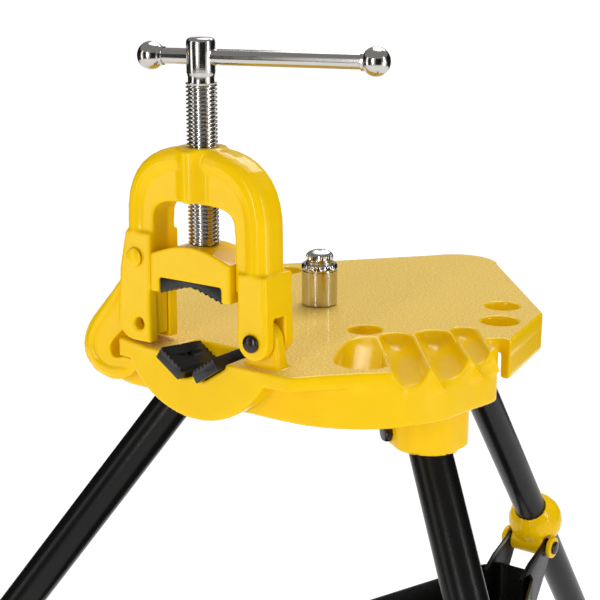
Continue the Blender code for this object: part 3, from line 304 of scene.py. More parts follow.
class Paint:
    """One finish: a material whose Principled shader is fed by nodes."""

    def __init__(self, name, base, **uniform):
        self.material = bpy.data.materials.new(name)
        self.material.use_nodes = True
        self.tree = self.material.node_tree
        self.shader = self.tree.nodes["Principled BSDF"]
        self.set("Base Color", (*base, 1))
        for socket, value in uniform.items():
            self.set(socket.replace("_", " "), value)

    def set(self, socket, value):
        """Puts a number, a colour or a Signal on one of the shader's sockets."""
        self._feed(self.shader.inputs[socket], value)

    def _feed(self, target, value):
        if isinstance(value, Signal):
            self.tree.links.new(value.socket, target)
        else:
            target.default_value = value

    def node(self, kind, settings=None, inputs=(), output=0):
        """Adds a node: its settings come first, then the values or links of its sockets."""
        made = self.tree.nodes.new(kind)
        for name, value in (settings or {}).items():
            setattr(made, name, value)
        pairs = inputs.items() if isinstance(inputs, dict) else enumerate(inputs)
        for key, value in pairs:
            self._feed(made.inputs[key], value)
        return Signal(self, made.outputs[output])

    def place(self):
        """Object coordinates, in metres."""
        return self.node("ShaderNodeTexCoord", output="Object")

    def height_of(self, vector):
        """The upward part of a place or a normal."""
        return self.node("ShaderNodeSeparateXYZ", inputs=[vector], output="Z")

    def noise(self, scale, detail=2.0, rough=0.5, stretch=None):
        """Noise between 0 and 1, with its scale in waves a metre."""
        place = self.place()
        if stretch:
            place = self.node("ShaderNodeMapping", inputs={"Vector": place, "Scale": stretch})
        settings = {"noise_dimensions": "3D"}
        inputs = {"Vector": place, "Scale": scale, "Detail": detail, "Roughness": rough}
        return self.node("ShaderNodeTexNoise", settings, inputs)

    def blend(self, share, one, two):
        """A colour between two colours or signals."""
        made = self.tree.nodes.new("ShaderNodeMix")
        made.data_type = "RGBA"
        colours = [socket for socket in made.inputs if socket.type == "RGBA"]
        self._feed(made.inputs[0], share)
        for socket, value in zip(colours, (one, two)):
            self._feed(socket, value if isinstance(value, Signal) else (*value, 1))
        return Signal(self, [socket for socket in made.outputs if socket.type == "RGBA"][0])

    def bump(self, height, distance, strength=1.0, before=None):
        """A Bump node: its distance is in metres."""
        inputs = {"Height": height, "Distance": distance, "Strength": strength}
        if before:
            inputs["Normal"] = before
        return self.node("ShaderNodeBump", None, inputs)


def shade(colour, factor=1.0, lift=0.0):
    """A colour with every channel times a factor, plus a lift."""
    return tuple(channel * factor + lift for channel in colour)


# Finishes


def yellow_enamel(look, name):
    """Thick glossy enamel over a sand casting: slow waves and a fine orange peel.

    The upward face between two heights is sandy and rougher, and its paler colour is a painted sheen of light
    glancing off it.
    """
    paint = Paint(name, look.enamel, Specular_IOR_Level=0.12, Coat_Weight=0.14, Coat_Roughness=0.04)
    waves = paint.noise(scale=45)
    peel = paint.noise(scale=420, detail=3.0, rough=0.6)
    grit = paint.noise(scale=520, rough=0.7)
    upward = paint.height_of(paint.node("ShaderNodeNewGeometry", output="Normal"))
    height = paint.height_of(paint.place())
    within = height.above(look.sand_low, gain=900) * (look.sand_high - height).above(0.0, gain=900)
    flat = upward.above(0.965, gain=40) * within
    deep = tuple(channel * share for channel, share in zip(look.enamel, look.enamel_shade))
    tint = paint.blend(waves.above(0.35, gain=1.8), deep, look.enamel)
    # Painted sheen: the top face is blended to paler sand colours, sand grit with painted glancing light on
    # it.
    sand = paint.blend(grit.above(0.4, gain=3.0), look.sheen_sand_deep, look.sheen_sand_pale)
    paint.set("Base Color", paint.blend(flat, tint, sand))
    paint.set("Roughness", look.enamel_gloss + peel * 0.05 + flat * 0.30)
    rolling = paint.bump(waves, distance=0.0012, strength=0.30)
    skin = paint.bump(peel, distance=0.00030, strength=0.25, before=rolling)
    paint.set("Normal", paint.bump(grit * flat, distance=0.0016, strength=0.9, before=skin))
    return paint.material


def black_enamel(look, name):
    """Satin black enamel on drawn tube, with a faint dust and soft handling marks."""
    paint = Paint(name, look.tube_black, Specular_IOR_Level=0.22)
    dust = paint.noise(scale=160, detail=4.0, rough=0.65)
    marks = paint.noise(scale=34, detail=3.0, rough=0.6, stretch=(1.0, 1.0, 0.35))
    lift = dust.above(0.55, gain=2.0) * marks.above(0.45, gain=2.5)
    paint.set("Base Color", paint.blend(lift, look.tube_black, shade(look.tube_black, lift=0.016)))
    paint.set("Roughness", 0.22 + marks * 0.10 + lift * 0.15)
    paint.set("Normal", paint.bump(paint.noise(scale=260), distance=0.00025, strength=0.22))
    return paint.material


def chrome(look, name):
    """Polished plated steel with fine turning marks."""
    paint = Paint(name, look.chrome, Metallic=1.0)
    cloud = paint.noise(scale=90, detail=3.0, rough=0.6)
    rings = paint.noise(scale=30, stretch=(1.0, 1.0, 60.0))
    paint.set("Base Color", paint.blend(cloud * 0.5, look.chrome, shade(look.chrome, factor=0.86)))
    paint.set("Roughness", 0.09 + cloud * 0.10)
    paint.set("Normal", paint.bump(rings, distance=0.00008, strength=0.35))
    return paint.material


def jaw_steel(look, name):
    """Black oxide on hardened steel, oily in places."""
    paint = Paint(name, look.jaw_black, Metallic=0.55, Specular_IOR_Level=0.8)
    oil = paint.noise(scale=120, detail=3.0, rough=0.6)
    grain = paint.noise(scale=900)
    paint.set("Base Color", paint.blend(oil, look.jaw_black, shade(look.jaw_black, factor=2.1, lift=0.006)))
    paint.set("Roughness", 0.22 + oil * 0.16)
    paint.set("Normal", paint.bump(grain, distance=0.00025, strength=0.35))
    return paint.material


def pin_steel(look, name):
    """Blackened pins and bolts with a soft polish."""
    paint = Paint(name, look.pin_black, Metallic=0.85)
    cloud = paint.noise(scale=210, detail=3.0, rough=0.6)
    paint.set("Base Color", paint.blend(cloud, look.pin_black, shade(look.pin_black, factor=1.9, lift=0.01)))
    paint.set("Roughness", 0.16 + cloud * 0.16)
    paint.set("Normal", paint.bump(paint.noise(scale=600), distance=0.00015, strength=0.3))
    return paint.material


def black_rubber(look, name):
    """Moulded rubber with a dull, slightly scuffed skin."""
    paint = Paint(name, look.rubber)
    scuff = paint.noise(scale=140, detail=4.0, rough=0.7)
    paint.set("Base Color", paint.blend(scuff, look.rubber, shade(look.rubber, lift=0.035)))
    paint.set("Roughness", 0.62 + scuff * 0.2)
    paint.set("Normal", paint.bump(paint.noise(scale=500, detail=3.0), distance=0.0003, strength=0.4))
    return paint.material


FINISHES = {
    "yellow_enamel": yellow_enamel,
    "black_enamel": black_enamel,
    "chrome_steel": chrome,
    "jaw_steel": jaw_steel,
    "pin_steel": pin_steel,
    "black_rubber": black_rubber,
}


def finish_of(slot):
    """The material of one of the record's slots, made once."""
    known = bpy.data.materials.get(f"{slot}_finish")
    return known or FINISHES[slot](bpy.context.scene.tristand_look, f"{slot}_finish")


# Meshes and pieces


def all_round(count):
    """The angles of a full turn, as one row."""
    return np.linspace(0, 2 * np.pi, count, endpoint=False)[None, :]


def grid_of(x, y, z):
    """An array of points from three arrays that stretch to one shape."""
    return np.stack(np.broadcast_arrays(x, y, z), axis=-1)


def points_of(mesh):
    """A mesh's points, as rows of x, y and z."""
    points = np.empty(len(mesh.vertices) * 3, np.float32)
    mesh.vertices.foreach_get("co", points)
    return points.reshape(-1, 3)


def merge(mesh, distance, turn_out=True):
    """Merges a mesh's doubles, and turns its faces outwards."""
    merged = bmesh.new()
    merged.from_mesh(mesh)
    bmesh.ops.remove_doubles(merged, verts=merged.verts, dist=distance)
    if turn_out:
        bmesh.ops.recalc_face_normals(merged, faces=merged.faces)
    merged.to_mesh(mesh)
    merged.free()


def grid_mesh(points, close_round=True, caps=(0, -1)):
    """A mesh from an array of points [rows, columns, 3].

    The columns close round, and caps names the rows that are filled.
    """
    rows, columns = points.shape[:2]
    numbers = np.arange(rows * columns).reshape(rows, columns)
    following = np.roll(numbers, -1, axis=1) if close_round else numbers[:, 1:]
    here = numbers if close_round else numbers[:, :-1]
    faces = np.stack([here[:-1], following[:-1], following[1:], here[1:]], axis=-1).reshape(-1, 4).tolist()
    faces += [numbers[row].tolist() for row in caps]
    mesh = bpy.data.meshes.new("surface")
    mesh.from_pydata(points.reshape(-1, 3).tolist(), [], faces)
    merge(mesh, NEW_MERGE)
    return mesh


def join_meshes(meshes):
    """One mesh from several that stand apart or cross."""
    joined = bmesh.new()
    for mesh in meshes:
        joined.from_mesh(mesh)
    made = bpy.data.meshes.new("joined")
    joined.to_mesh(made)
    joined.free()
    return made


def piece(name, mesh, body, slot, sharp_deg=35):
    """A new piece at the origin that rides on a body and takes the slot's finish."""
    mesh.name = name
    made = bpy.data.objects.new(name, mesh)
    bpy.context.scene.collection.objects.link(made)
    mesh.shade_smooth()
    mesh.set_sharp_from_angle(angle=math.radians(sharp_deg))
    mesh.materials.clear()
    mesh.materials.append(finish_of(slot))
    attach(made, body)
    return made


def stand_in(node, way_made, mesh, sharp_deg=35):
    """A piece that takes a CAD node's place, on the node's body and with its finish."""
    made = piece(f"{node}_{way_made}", mesh, BODY_OF[node], SLOT_OF[node], sharp_deg)
    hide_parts(node)
    return made


def applied(made):
    """Carries out a piece's modifiers."""
    bpy.context.view_layer.update()
    graph = bpy.context.evaluated_depsgraph_get()
    mesh = bpy.data.meshes.new_from_object(made.evaluated_get(graph))
    made.modifiers.clear()
    mesh.name = made.name
    made.data = mesh


def copy_of(node):
    """The mesh of a CAD node, with its loose triangles merged."""
    mesh = frame["nodes"][node].data.copy()
    merge(mesh, CAD_MERGE, turn_out=False)
    return mesh


def cast_copy(node, grid, rounds, swells=()):
    """A CAD node as it comes from the sand.

    It is rebuilt on a fine grid together with its swells, and smoothed, which rounds every edge.
    """
    made = stand_in(node, "cast", join_meshes([copy_of(node), *swells]))
    step = made.modifiers.new("grid", "REMESH")
    step.mode = "VOXEL"
    step.voxel_size = grid
    step = made.modifiers.new("soften", "SMOOTH")
    step.factor = SMOOTH_FACTOR
    step.iterations = rounds
    applied(made)
    count = sum(len(face.vertices) - 2 for face in made.data.polygons)
    if count > MOST_TRIANGLES:
        step = made.modifiers.new("thin", "DECIMATE")
        step.ratio = MOST_TRIANGLES / count
        applied(made)
    made.data.shade_smooth()


def bevelled_copy(node, width, from_deg):
    """A CAD node with its edges broken by a small round, where they turn by more than an angle."""
    made = stand_in(node, "edged", copy_of(node))
    flat = bmesh.new()
    flat.from_mesh(made.data)
    bmesh.ops.dissolve_limit(flat, angle_limit=math.radians(COPLANAR_DEG), verts=flat.verts, edges=flat.edges)
    flat.to_mesh(made.data)
    flat.free()
    step = made.modifiers.new("edge", "BEVEL")
    step.width = width
    step.segments = BEVEL_SEGMENTS
    step.limit_method = "ANGLE"
    step.angle_limit = math.radians(from_deg)
    applied(made)
    made.data.shade_smooth()
    made.data.set_sharp_from_angle(angle=math.radians(SHARP_DEG))


# Places on the CAD model


def reach_of(node, origin, way):
    """How far a CAD node's points lie along a line, at least and at most, and how far off it."""
    rows = points_of(frame["nodes"][node].data) - np.array(origin)
    distance = rows @ np.array(way)
    off = np.linalg.norm(rows - distance[:, None] * np.array(way), axis=1)
    return float(distance.min()), float(distance.max()), float(off.max())


def middle(node):
    """The middle of a CAD node's box."""
    low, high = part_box(node)
    return (low + high) / 2


def joint_axis(name):
    """The direction of one of the record's joints."""
    return np.array(JOINTS[name]["axis"], float)


# Turned shapes


def steps(radius, height, rows):
    """Profile rows from rows of (inset, rise, more): (radius - inset, height + rise, more)."""
    return [(radius - inset, height + rise, *more) for inset, rise, *more in rows]


def dome(radius, tall, low, rows=9):
    """Rows of a low dome from its top down: r = radius * sin b, distance = low - tall * cos b."""
    angles = np.linspace(POLE_ANGLE, np.pi / 2, rows)
    return [(radius * math.sin(b), low - tall * math.cos(b)) for b in angles]


def thread(centre, low, high, radius, pitch, depth):
    """A shaft whose radius runs in a helix: r = radius - depth * tooth * fade.

    The phase is (height - low) / pitch - angle / a full turn. tooth is a rounded triangle wave of it, 0 on
    the crest and 1 in the root, and fade falls from 1 to 0 over the run-out at both ends.
    """
    count = int(round((high - low) / pitch * THREAD_ROWS)) + 1
    height = np.linspace(low, high, count)[:, None]
    angle = all_round(THREAD_POINTS)
    phase = ((height - low) / pitch - angle / (2 * np.pi)) % 1
    tooth = 0.5 + 0.5 * np.cos(2 * np.pi * phase)
    tooth = np.clip((tooth - 0.5) * THREAD_FLANK + 0.5, 0.0, 1.0)
    fade = np.clip(np.minimum(height - low, high - height) / (THREAD_RUN_OUT * pitch), 0, 1)
    reach = radius - depth * tooth * fade
    return grid_mesh(grid_of(centre[0] + reach * np.cos(angle), centre[1] + reach * np.sin(angle), height))


def lathe(start, way, profile, around=64, closed=False, flat=None, notches=0):
    """A profile carried round a line: point = start + distance * way + r * (side * cos a + across * sin a).

    The profile's rows are (radius, distance), and a closed one comes back to its first row. With flat, r is
    at most flat / cos(a - the middle of its sixth), which makes a hexagon. With a number of notches, each row
    has a depth too, and r = radius - depth * (0.5 + 0.5 cos(notches * a)).
    """
    profile = np.array(profile, float)
    way = np.array(way, float) / np.linalg.norm(way)
    side = np.cross(way, UP) if abs(way[2]) < NEAR_UPRIGHT else np.array((1.0, 0.0, 0.0))
    side /= np.linalg.norm(side)
    across = np.cross(way, side)
    angle = all_round(around)
    radius = np.repeat(profile[:, :1], around, axis=1)
    if flat:
        sixth = np.pi / 3
        radius = np.minimum(radius, flat / np.cos(angle % sixth - sixth / 2))
    if notches:
        radius = radius - profile[:, 2:] * (0.5 + 0.5 * np.cos(notches * angle))
    points = np.array(start) + profile[:, 1, None, None] * way
    points = points + (radius * np.cos(angle))[..., None] * side
    points = points + (radius * np.sin(angle))[..., None] * across
    return grid_mesh(points, caps=() if closed else (0, -1))


# Swells of the castings


def between_grooves(start, from_s, to_s, top, wide):
    """A wedge between two grooves, from its crest down to its foot.

    The foot's half width grows as crest + (wide - crest) * t^1.5 along the groove's way.
    """
    share = np.linspace(0, 1, WEDGE_ROWS)[:, None]
    across = np.array((-GROOVE_WAY[1], GROOVE_WAY[0], 0.0))
    foot = WEDGE_CREST + (wide - WEDGE_CREST) * share**1.5
    crest = np.full_like(foot, WEDGE_CREST)
    passed = from_s + (to_s - from_s) * share[..., None]
    line = np.array((*start, 0.0)) + passed * np.array((*GROOVE_WAY, 0.0))
    offset = np.concatenate([-crest, crest, foot, -foot], axis=1)
    height = np.array((top, top, top - WEDGE_DEEP, top - WEDGE_DEEP))
    return grid_mesh(line + offset[..., None] * across + height[:, None] * UP)


def cup_lip(pivot, out, side):
    """The rounded front of a leg cup: point = pivot + out * a * cos t + side * b * sin t + up * rise.

    The half axes a and b and the rise are the rows of CUP_LIP, and t runs over the arc before the leg.
    """
    angle = np.radians(np.linspace(-CUP_HALF_ARC_DEG, CUP_HALF_ARC_DEG, CUP_ROWS))[:, None]
    outwards, sideways, rise = np.array(CUP_LIP).T
    points = np.array((pivot[0], pivot[1], 0.0)) + (outwards * np.cos(angle))[..., None] * out
    points = points + (sideways * np.sin(angle))[..., None] * side
    return grid_mesh(points + (pivot[2] + rise)[:, None] * UP)


def boss_swell(centre, facing):
    """A swelling on the yoke's face: depth = face + swell * exp(-(x / spread)^2), its top falling as x^2."""
    x = np.linspace(-BOSS_HALF_WIDE, BOSS_HALF_WIDE, BOSS_COLUMNS)
    depth = BOSS_FACE + BOSS_SWELL * np.exp(-((x / BOSS_SPREAD) ** 2))
    around_x = np.concatenate([x, x[::-1]])
    around_y = np.concatenate([depth, np.full_like(x, BOSS_FACE - BOSS_BACK)]) * facing
    share = np.linspace(0, 1, BOSS_ROWS)[:, None]
    height = BOSS_LOW + share * (BOSS_TOP - BOSS_FALL * (around_x / BOSS_HALF_WIDE) ** 2 - BOSS_LOW)
    return grid_mesh(grid_of(centre[0] + around_x, centre[1] + around_y, height))


def hook_ridge(y):
    """A bead along the hook's ridge: point = path + normal * wide * w * cos a + back * deep * w * sin a.

    The path runs evenly between its points and is averaged over its neighbours, and w = sqrt(1 - |s|^6), with
    s from -1 to 1, narrows the bead at both ends.
    """
    path = np.array(HOOK_RIDGE)
    passed = np.concatenate([[0], np.cumsum(np.linalg.norm(np.diff(path, axis=0), axis=1))])
    even = np.linspace(0, passed[-1], RIDGE_ROWS)
    x, z = np.interp(even, passed, path[:, 0]), np.interp(even, passed, path[:, 1])
    kernel = np.ones(RIDGE_NEIGHBOURS) / RIDGE_NEIGHBOURS
    ends = RIDGE_NEIGHBOURS // 2
    for values in (x, z):
        values[ends:-ends] = np.convolve(values, kernel, "valid")
    slope = np.stack([np.gradient(x), np.gradient(z)], axis=1)
    slope /= np.linalg.norm(slope, axis=1)[:, None]
    angle = all_round(BEAD_COLUMNS)
    share = np.linspace(-1, 1, RIDGE_ROWS)[:, None]
    size = np.sqrt(np.clip(1 - np.abs(share) ** 6, RIDGE_TIP, 1))
    wide = RIDGE_HALF_WIDE * size * np.cos(angle)
    deep = RIDGE_HALF_DEEP * size * np.sin(angle)
    return grid_mesh(grid_of(x[:, None] - slope[:, 1:] * wide, y + deep, z[:, None] + slope[:, :1] * wide))


# Settings


def colour(name, description, default):
    """A colour that the user can change."""
    return FloatVectorProperty(
        name=name, description=description, subtype="COLOR", default=default, min=0, max=1
    )


def length(name, description, default, least=0.0):
    """A length in metres that the user can change."""
    return FloatProperty(name=name, description=description, unit="LENGTH", default=default, min=least)


def rotation(name, description, degrees):
    """An angle that the user can change."""
    return FloatProperty(name=name, description=description, unit="ROTATION", default=math.radians(degrees))


def amount(name, description, default, least=0.0):
    """A plain number that the user can change."""
    return FloatProperty(name=name, description=description, default=default, min=least)


class TristandLook(PropertyGroup):
    """Colours and gloss of the finishes"""

    enamel: colour("Enamel", "Colour of the castings", (0.86, 0.548, 0.0004))
    enamel_shade: colour("Enamel shade", "What the enamel's darker waves keep of it", (0.965, 0.925, 0.9))
    enamel_gloss: FloatProperty(
        name="Enamel roughness",
        description="Roughness of the casting enamel",
        subtype="FACTOR",
        default=0.17,
        min=0,
        max=1,
    )
    # Both sand colours are paler than the enamel: painted sheen of glancing light on the bench top, together
    # with its sand grains.
    sheen_sand_pale: colour("Sand pale", "Light grains of the bench top's cast face", (1.0, 0.80, 0.24))
    sheen_sand_deep: colour("Sand deep", "Dark grains of the bench top's cast face", (0.80, 0.49, 0.06))
    sand_low: length("Sand from", "Lowest height of the sandy face", 0.7965)
    sand_high: length("Sand to", "Greatest height of the sandy face", 0.8025)
    tube_black: colour("Tube black", "Colour of the legs and the tray", (0.0045, 0.0042, 0.0040))
    chrome: colour("Chrome", "Colour of the plated screws", (0.60, 0.575, 0.54))
    jaw_black: colour("Jaw black", "Colour of the hardened jaws", (0.012, 0.012, 0.013))
    pin_black: colour("Pin black", "Colour of the pins and bolts", (0.03, 0.024, 0.024))
    rubber: colour("Rubber", "Colour of the feet", (0.012, 0.012, 0.012))


class TristandSizes(PropertyGroup):
    """Sizes of the finer forms"""

    clamp_stub: length("Clamp stub", "Plain end of the clamp screw", 0.0235)
    clamp_neck: length("Clamp neck", "Plain neck under the clamp's head", 0.0066, 0.002)
    clamp_head: length("Clamp head", "Height of the clamp's head", 0.0262, 0.01)
    clamp_pitch: length("Clamp pitch", "Pitch of the clamp screw", 0.003, 0.001)
    clamp_depth: length("Clamp depth", "Depth of the clamp screw's thread", 0.00175, 0.0001)
    ball_collar: length("Ball collar", "How far a ball's collar stands off the bar", 0.0011)
    brace_pitch: length("Brace pitch", "Pitch of the ceiling brace screw", 0.0025, 0.001)
    brace_depth: length("Brace depth", "Depth of the brace screw's thread", 0.0013, 0.0001)
    tube_wall: length("Tube wall", "Wall of the leg tubes", 0.003, 0.001)
    foot_rib: length("Foot rib", "Distance between the feet's ribs", 0.0055, 0.002)
    bolt_head: length("Bolt head", "Height of the pivot bolts' heads", 0.0055, 0.001)
    rib_half_wide: length("Rib half width", "Half the width of the tray's ribs", 0.0045, 0.001)
    rib_tall: length("Rib height", "Height of the tray's ribs", 0.0024, 0.0005)
    casting_grid: length("Casting grid", "Grid on which the bench top is rebuilt", 0.0014, 0.001)
    casting_rounds: IntProperty(
        name="Casting softening", description="Smoothing rounds of the bench top", default=12, min=0
    )


class TristandStudio(PropertyGroup):
    """Floor, lights and camera, with turns in degrees from the operator's side"""

    floor_reach: length("Floor reach", "Half the floor's side", 60, 1)
    floor_white: colour("Floor white", "Colour of the floor", (0.25, 0.25, 0.25))
    floor_glow: amount("Floor glow", "Light that the floor gives off like a lit sweep", 0.88)
    room: amount("Room light", "Light that comes from all round", 0.30)
    key: amount("Key light", "Radiance of the tall light at the front", 0.5)
    key_turn: amount("Key turn", "Where the key light stands", 12, -360)
    strip: amount("Strip light", "Radiance of the narrow light before the key", 16)
    strip_turn: amount("Strip turn", "Where the narrow light stands", 9, -360)
    fill: amount("Fill light", "Radiance of the light at the left", 1.0)
    fill_turn: amount("Fill turn", "Where the left light stands", -40, -360)
    side: amount("Side light", "Radiance of the tall light at the right", 13.0)
    side_turn: amount("Side turn", "Where the right light stands", 98, -360)
    top: amount("Top light", "Radiance of the light above and behind", 4.0)
    top_turn: amount("Top turn", "Where the light above stands", 197, -360)
    overhead: amount("Overhead light", "Strength of the light from above", 1.18)
    card_distance: length("Card distance", "The dark cards from the vise", 2.6, 1.5)
    card_height: length("Card height", "Height of the dark cards", 2.2, 0.1)
    lens: amount("Lens", "Focal length in millimetres", 84, 10)
    eye_right: length("Eye right", "Camera to the right of the clamp screw", 0.670)
    eye_front: length("Eye front", "Camera in front of the clamp screw", 0.803)
    eye_height: length("Eye height", "Camera above the floor", 1.108)
    eye_turn: rotation("Eye turn", "How far the camera looks left", 35.84)
    eye_drop: rotation("Eye drop", "How far the camera looks down", 14.3)


# Operators


class TRISTAND_OT_castings(Operator):
    """Rebuild the castings with the soft edges and filled corners of sand moulding"""

    bl_idname = "tristand.castings"
    bl_label = "Castings"

    def execute(self, context):
        sizes = context.scene.tristand_sizes
        vise = middle("clamp_screw")
        cast_copy("base_casting", sizes.casting_grid, sizes.casting_rounds, self.bench_swells())
        cast_copy("yoke", *YOKE_CAST, [boss_swell(vise, facing) for facing in (-1, 1)])
        cast_copy("hook", *HOOK_CAST, [hook_ridge(vise.y - RIDGE_BEFORE_SCREW)])
        cast_copy("jaw_saddle", *SADDLE_CAST)
        for leg in LEGS:
            cast_copy(f"collar_{leg}", *COLLAR_CAST)
        return {"FINISHED"}

    def bench_swells(self):
        """The wedges that narrow the bending grooves to the rim, and the round fronts of the leg cups."""
        plate = MOUNTS["bench_top"]["pos_m"]
        top = plate[2] - WEDGE_BELOW_PLATE
        meshes = []
        for x, y, from_s, to_s, wide in GROOVE_WEDGES:
            meshes.append(between_grooves((plate[0] + x, plate[1] + y), from_s, to_s, top, wide))
        for leg in LEGS:
            pivot = np.array(JOINTS[f"leg_fold_{leg}"]["pos_m"])
            out = np.array(MOUNTS[f"ground_{leg}"]["pos_m"]) - pivot
            out[2] = 0
            out /= np.linalg.norm(out)
            meshes.append(cup_lip(pivot, out, joint_axis(f"leg_fold_{leg}")))
        return meshes


class TRISTAND_OT_clamp(Operator):
    """Cut the clamp screw's thread and turn its head, handle bar and balls"""

    bl_idname = "tristand.clamp"
    bl_label = "Clamp screw"

    def execute(self, context):
        sizes = context.scene.tristand_sizes
        self.screw(sizes)
        way = joint_axis("handle_slide")
        centre = np.array(middle("handle_bar"))
        low, high, bar_r = reach_of("handle_bar", centre, way)
        stand_in("handle_bar", "turned", lathe(centre, way, [(bar_r, low), (bar_r, high)], around=48))
        for node, inward in (("handle_ball_left", way), ("handle_ball_right", -way)):
            self.ball(node, inward, bar_r + sizes.ball_collar)
        return {"FINISHED"}

    def screw(self, sizes):
        """A plain stub, the thread, a neck, and a head with a fillet under it and a rounded crown."""
        centre = middle("clamp_screw")
        foot = (centre.x, centre.y, 0)
        low, top, radius = reach_of("clamp_screw", foot, UP)
        thread_low, shoulder = low + sizes.clamp_stub, top - sizes.clamp_head
        neck_low = shoulder - sizes.clamp_neck
        neck_r, stub_r = radius - CLAMP_NECK_INSET, radius - CLAMP_STUB_INSET
        head_r = radius - CLAMP_HEAD_INSET
        shaft = thread(centre, thread_low, neck_low, radius, sizes.clamp_pitch, sizes.clamp_depth)
        stub = lathe(foot, UP, [(stub_r, low), (stub_r, thread_low + OVERLAP)])
        rows = [(neck_r, neck_low - OVERLAP)] + steps(neck_r, shoulder, CLAMP_FILLET)
        rows += steps(head_r, shoulder, CLAMP_SHOULDER) + steps(head_r, top, CLAMP_CROWN)
        stand_in("clamp_screw", "cut", join_meshes([shaft, stub, lathe(foot, UP, rows)]), sharp_deg=50)

    def ball(self, node, inward, collar_r):
        """A ball that runs into a short collar: r = ball * sin b, distance = -ball * cos b."""
        centre = np.array(middle(node))
        ball_r = reach_of(node, centre, inward)[2]
        angles = np.linspace(BALL_POLE_ANGLE, np.pi - BALL_NECK_ANGLE, BALL_ROWS)
        rows = [(ball_r * math.sin(b), -ball_r * math.cos(b)) for b in angles]
        rows += steps(collar_r, ball_r, BALL_NECK)
        stand_in(node, "turned", lathe(centre, inward, rows, around=56))


class TRISTAND_OT_brace_screw(Operator):
    """Turn the ceiling brace screw: its notched head on the plate and the thread below it"""

    bl_idname = "tristand.brace_screw"
    bl_label = "Ceiling brace screw"

    def execute(self, context):
        sizes = context.scene.tristand_sizes
        centre = middle("ceiling_screw")
        foot = (centre.x, centre.y, 0)
        low, top, head_r = reach_of("ceiling_screw", foot, UP)
        plate = MOUNTS["bench_top"]["pos_m"][2]
        shaft_r, cap_r = head_r - BRACE_SHAFT_INSET, head_r - BRACE_CAP_INSET
        shoulder = top - BRACE_CAP_TALL
        thread_top = plate - BRACE_THREAD_DROP
        shaft = thread(centre, low, thread_top, shaft_r, sizes.brace_pitch, sizes.brace_depth)
        rows = steps(shaft_r, plate, BRACE_STEM) + steps(head_r, plate, BRACE_SEAT)
        rows += steps(head_r, shoulder, BRACE_BANDS) + steps(cap_r, shoulder, BRACE_CAP)
        dome_low = rows[-1][1]
        for b in BRACE_DOME_ANGLES:
            rows.append((cap_r * math.cos(b), dome_low + (top - dome_low) * math.sin(b), BRACE_DOME_NOTCH))
        head = lathe(foot, UP, rows, around=128, notches=BRACE_NOTCHES)
        stand_in("ceiling_screw", "cut", join_meshes([shaft, head]), sharp_deg=40)
        return {"FINISHED"}


class TRISTAND_OT_legs(Operator):
    """Draw the leg tubes, their ribbed rubber feet, the pivot bolts and the collar pins"""

    bl_idname = "tristand.legs"
    bl_label = "Legs"

    def execute(self, context):
        sizes = context.scene.tristand_sizes
        for leg in LEGS:
            pivot = np.array(JOINTS[f"leg_fold_{leg}"]["pos_m"])
            way = np.array(MOUNTS[f"ground_{leg}"]["pos_m"]) - pivot
            floor = np.linalg.norm(way)
            way /= floor
            side = joint_axis(f"leg_fold_{leg}")
            self.tube(f"leg_{leg}", pivot, way, sizes.tube_wall)
            self.foot(leg, pivot, way, floor, sizes.foot_rib)
            self.bolt(f"leg_bolt_{leg}", pivot, side, sizes.bolt_head)
            self.collar_pin(f"collar_pin_{leg}", side)
        return {"FINISHED"}

    def tube(self, node, pivot, way, wall):
        """The tube's wall: its section, with broken edges, carried round the leg's line."""
        low, high, radius = reach_of(node, pivot, way)
        bore, edge_r = radius - wall, radius - TUBE_EDGE
        section = [(radius, low + TUBE_EDGE), (radius, high - TUBE_EDGE), (edge_r, high), (bore, high)]
        section += [(bore, low), (edge_r, low), (radius, low + TUBE_EDGE)]
        stand_in(node, "drawn", lathe(pivot, way, section, around=72, closed=True))

    def foot(self, leg, pivot, way, floor, spacing):
        """A ribbed boot: what falls under the floor slides up the leg's line until its height is nought."""
        node = f"foot_{leg}"
        top, _, radius = reach_of(node, pivot, way)
        tube_r = reach_of(f"leg_{leg}", pivot, way)[2]
        rows = steps(tube_r, top, FOOT_MOUTH) + [(radius, top + radius)]
        for rib in np.arange(top + radius + FOOT_PLAIN, floor - FOOT_TOE_SHARE * radius, spacing):
            rows += [(radius - depth, rib + share * spacing) for share, depth in FOOT_RIB]
        rows.append((radius, floor + radius))
        mesh = lathe(pivot, way, rows, around=56)
        points = points_of(mesh)
        points -= np.minimum(points[:, 2:], 0) / way[2] * way
        mesh.vertices.foreach_set("co", points.ravel())
        merge(mesh, FOOT_MERGE)
        stand_in(node, "ribbed", mesh, sharp_deg=30)

    def bolt(self, node, pivot, side, tall):
        """A hexagon bolt with its nut: every row is a circle cut off by six flats."""
        low, high, head_r = reach_of(node, pivot, side)
        shank_r, face_r, end_r = head_r * BOLT_SHANK_SHARE, head_r * BOLT_FACE_SHARE, head_r * BOLT_END_SHARE
        chamfer = tall * BOLT_CHAMFER_SHARE
        nut_face = high - BOLT_NUT_INSET
        rows = [(end_r, low), (face_r, low + BOLT_FACE_RISE), (head_r, low + chamfer), (head_r, low + tall)]
        rows += [(shank_r, low + tall), (shank_r, high - tall), (head_r, high - tall)]
        rows += [(head_r, high - chamfer), (face_r, nut_face), (shank_r, nut_face)]
        rows += [(shank_r, high - BOLT_FACE_RISE), (shank_r * BOLT_END_SHARE, high)]
        mesh = lathe(pivot, side, rows, around=72, flat=head_r * BOLT_FLATS_SHARE)
        stand_in(node, "hex", mesh, sharp_deg=30)

    def collar_pin(self, node, side):
        """A pin with a low domed head at both ends."""
        centre = np.array(middle(node))
        low, high, head_r = reach_of(node, centre, side)
        dome_tall, shank_r = PIN_HEAD_TALL * PIN_DOME_SHARE, head_r * PIN_SHANK_SHARE
        neck = low + PIN_HEAD_TALL
        rows = dome(head_r, dome_tall, low + dome_tall) + [(head_r, neck), (shank_r, neck)]
        rows += [(radius, high + low - distance) for radius, distance in reversed(rows)]
        stand_in(node, "turned", lathe(centre, side, rows, around=40))


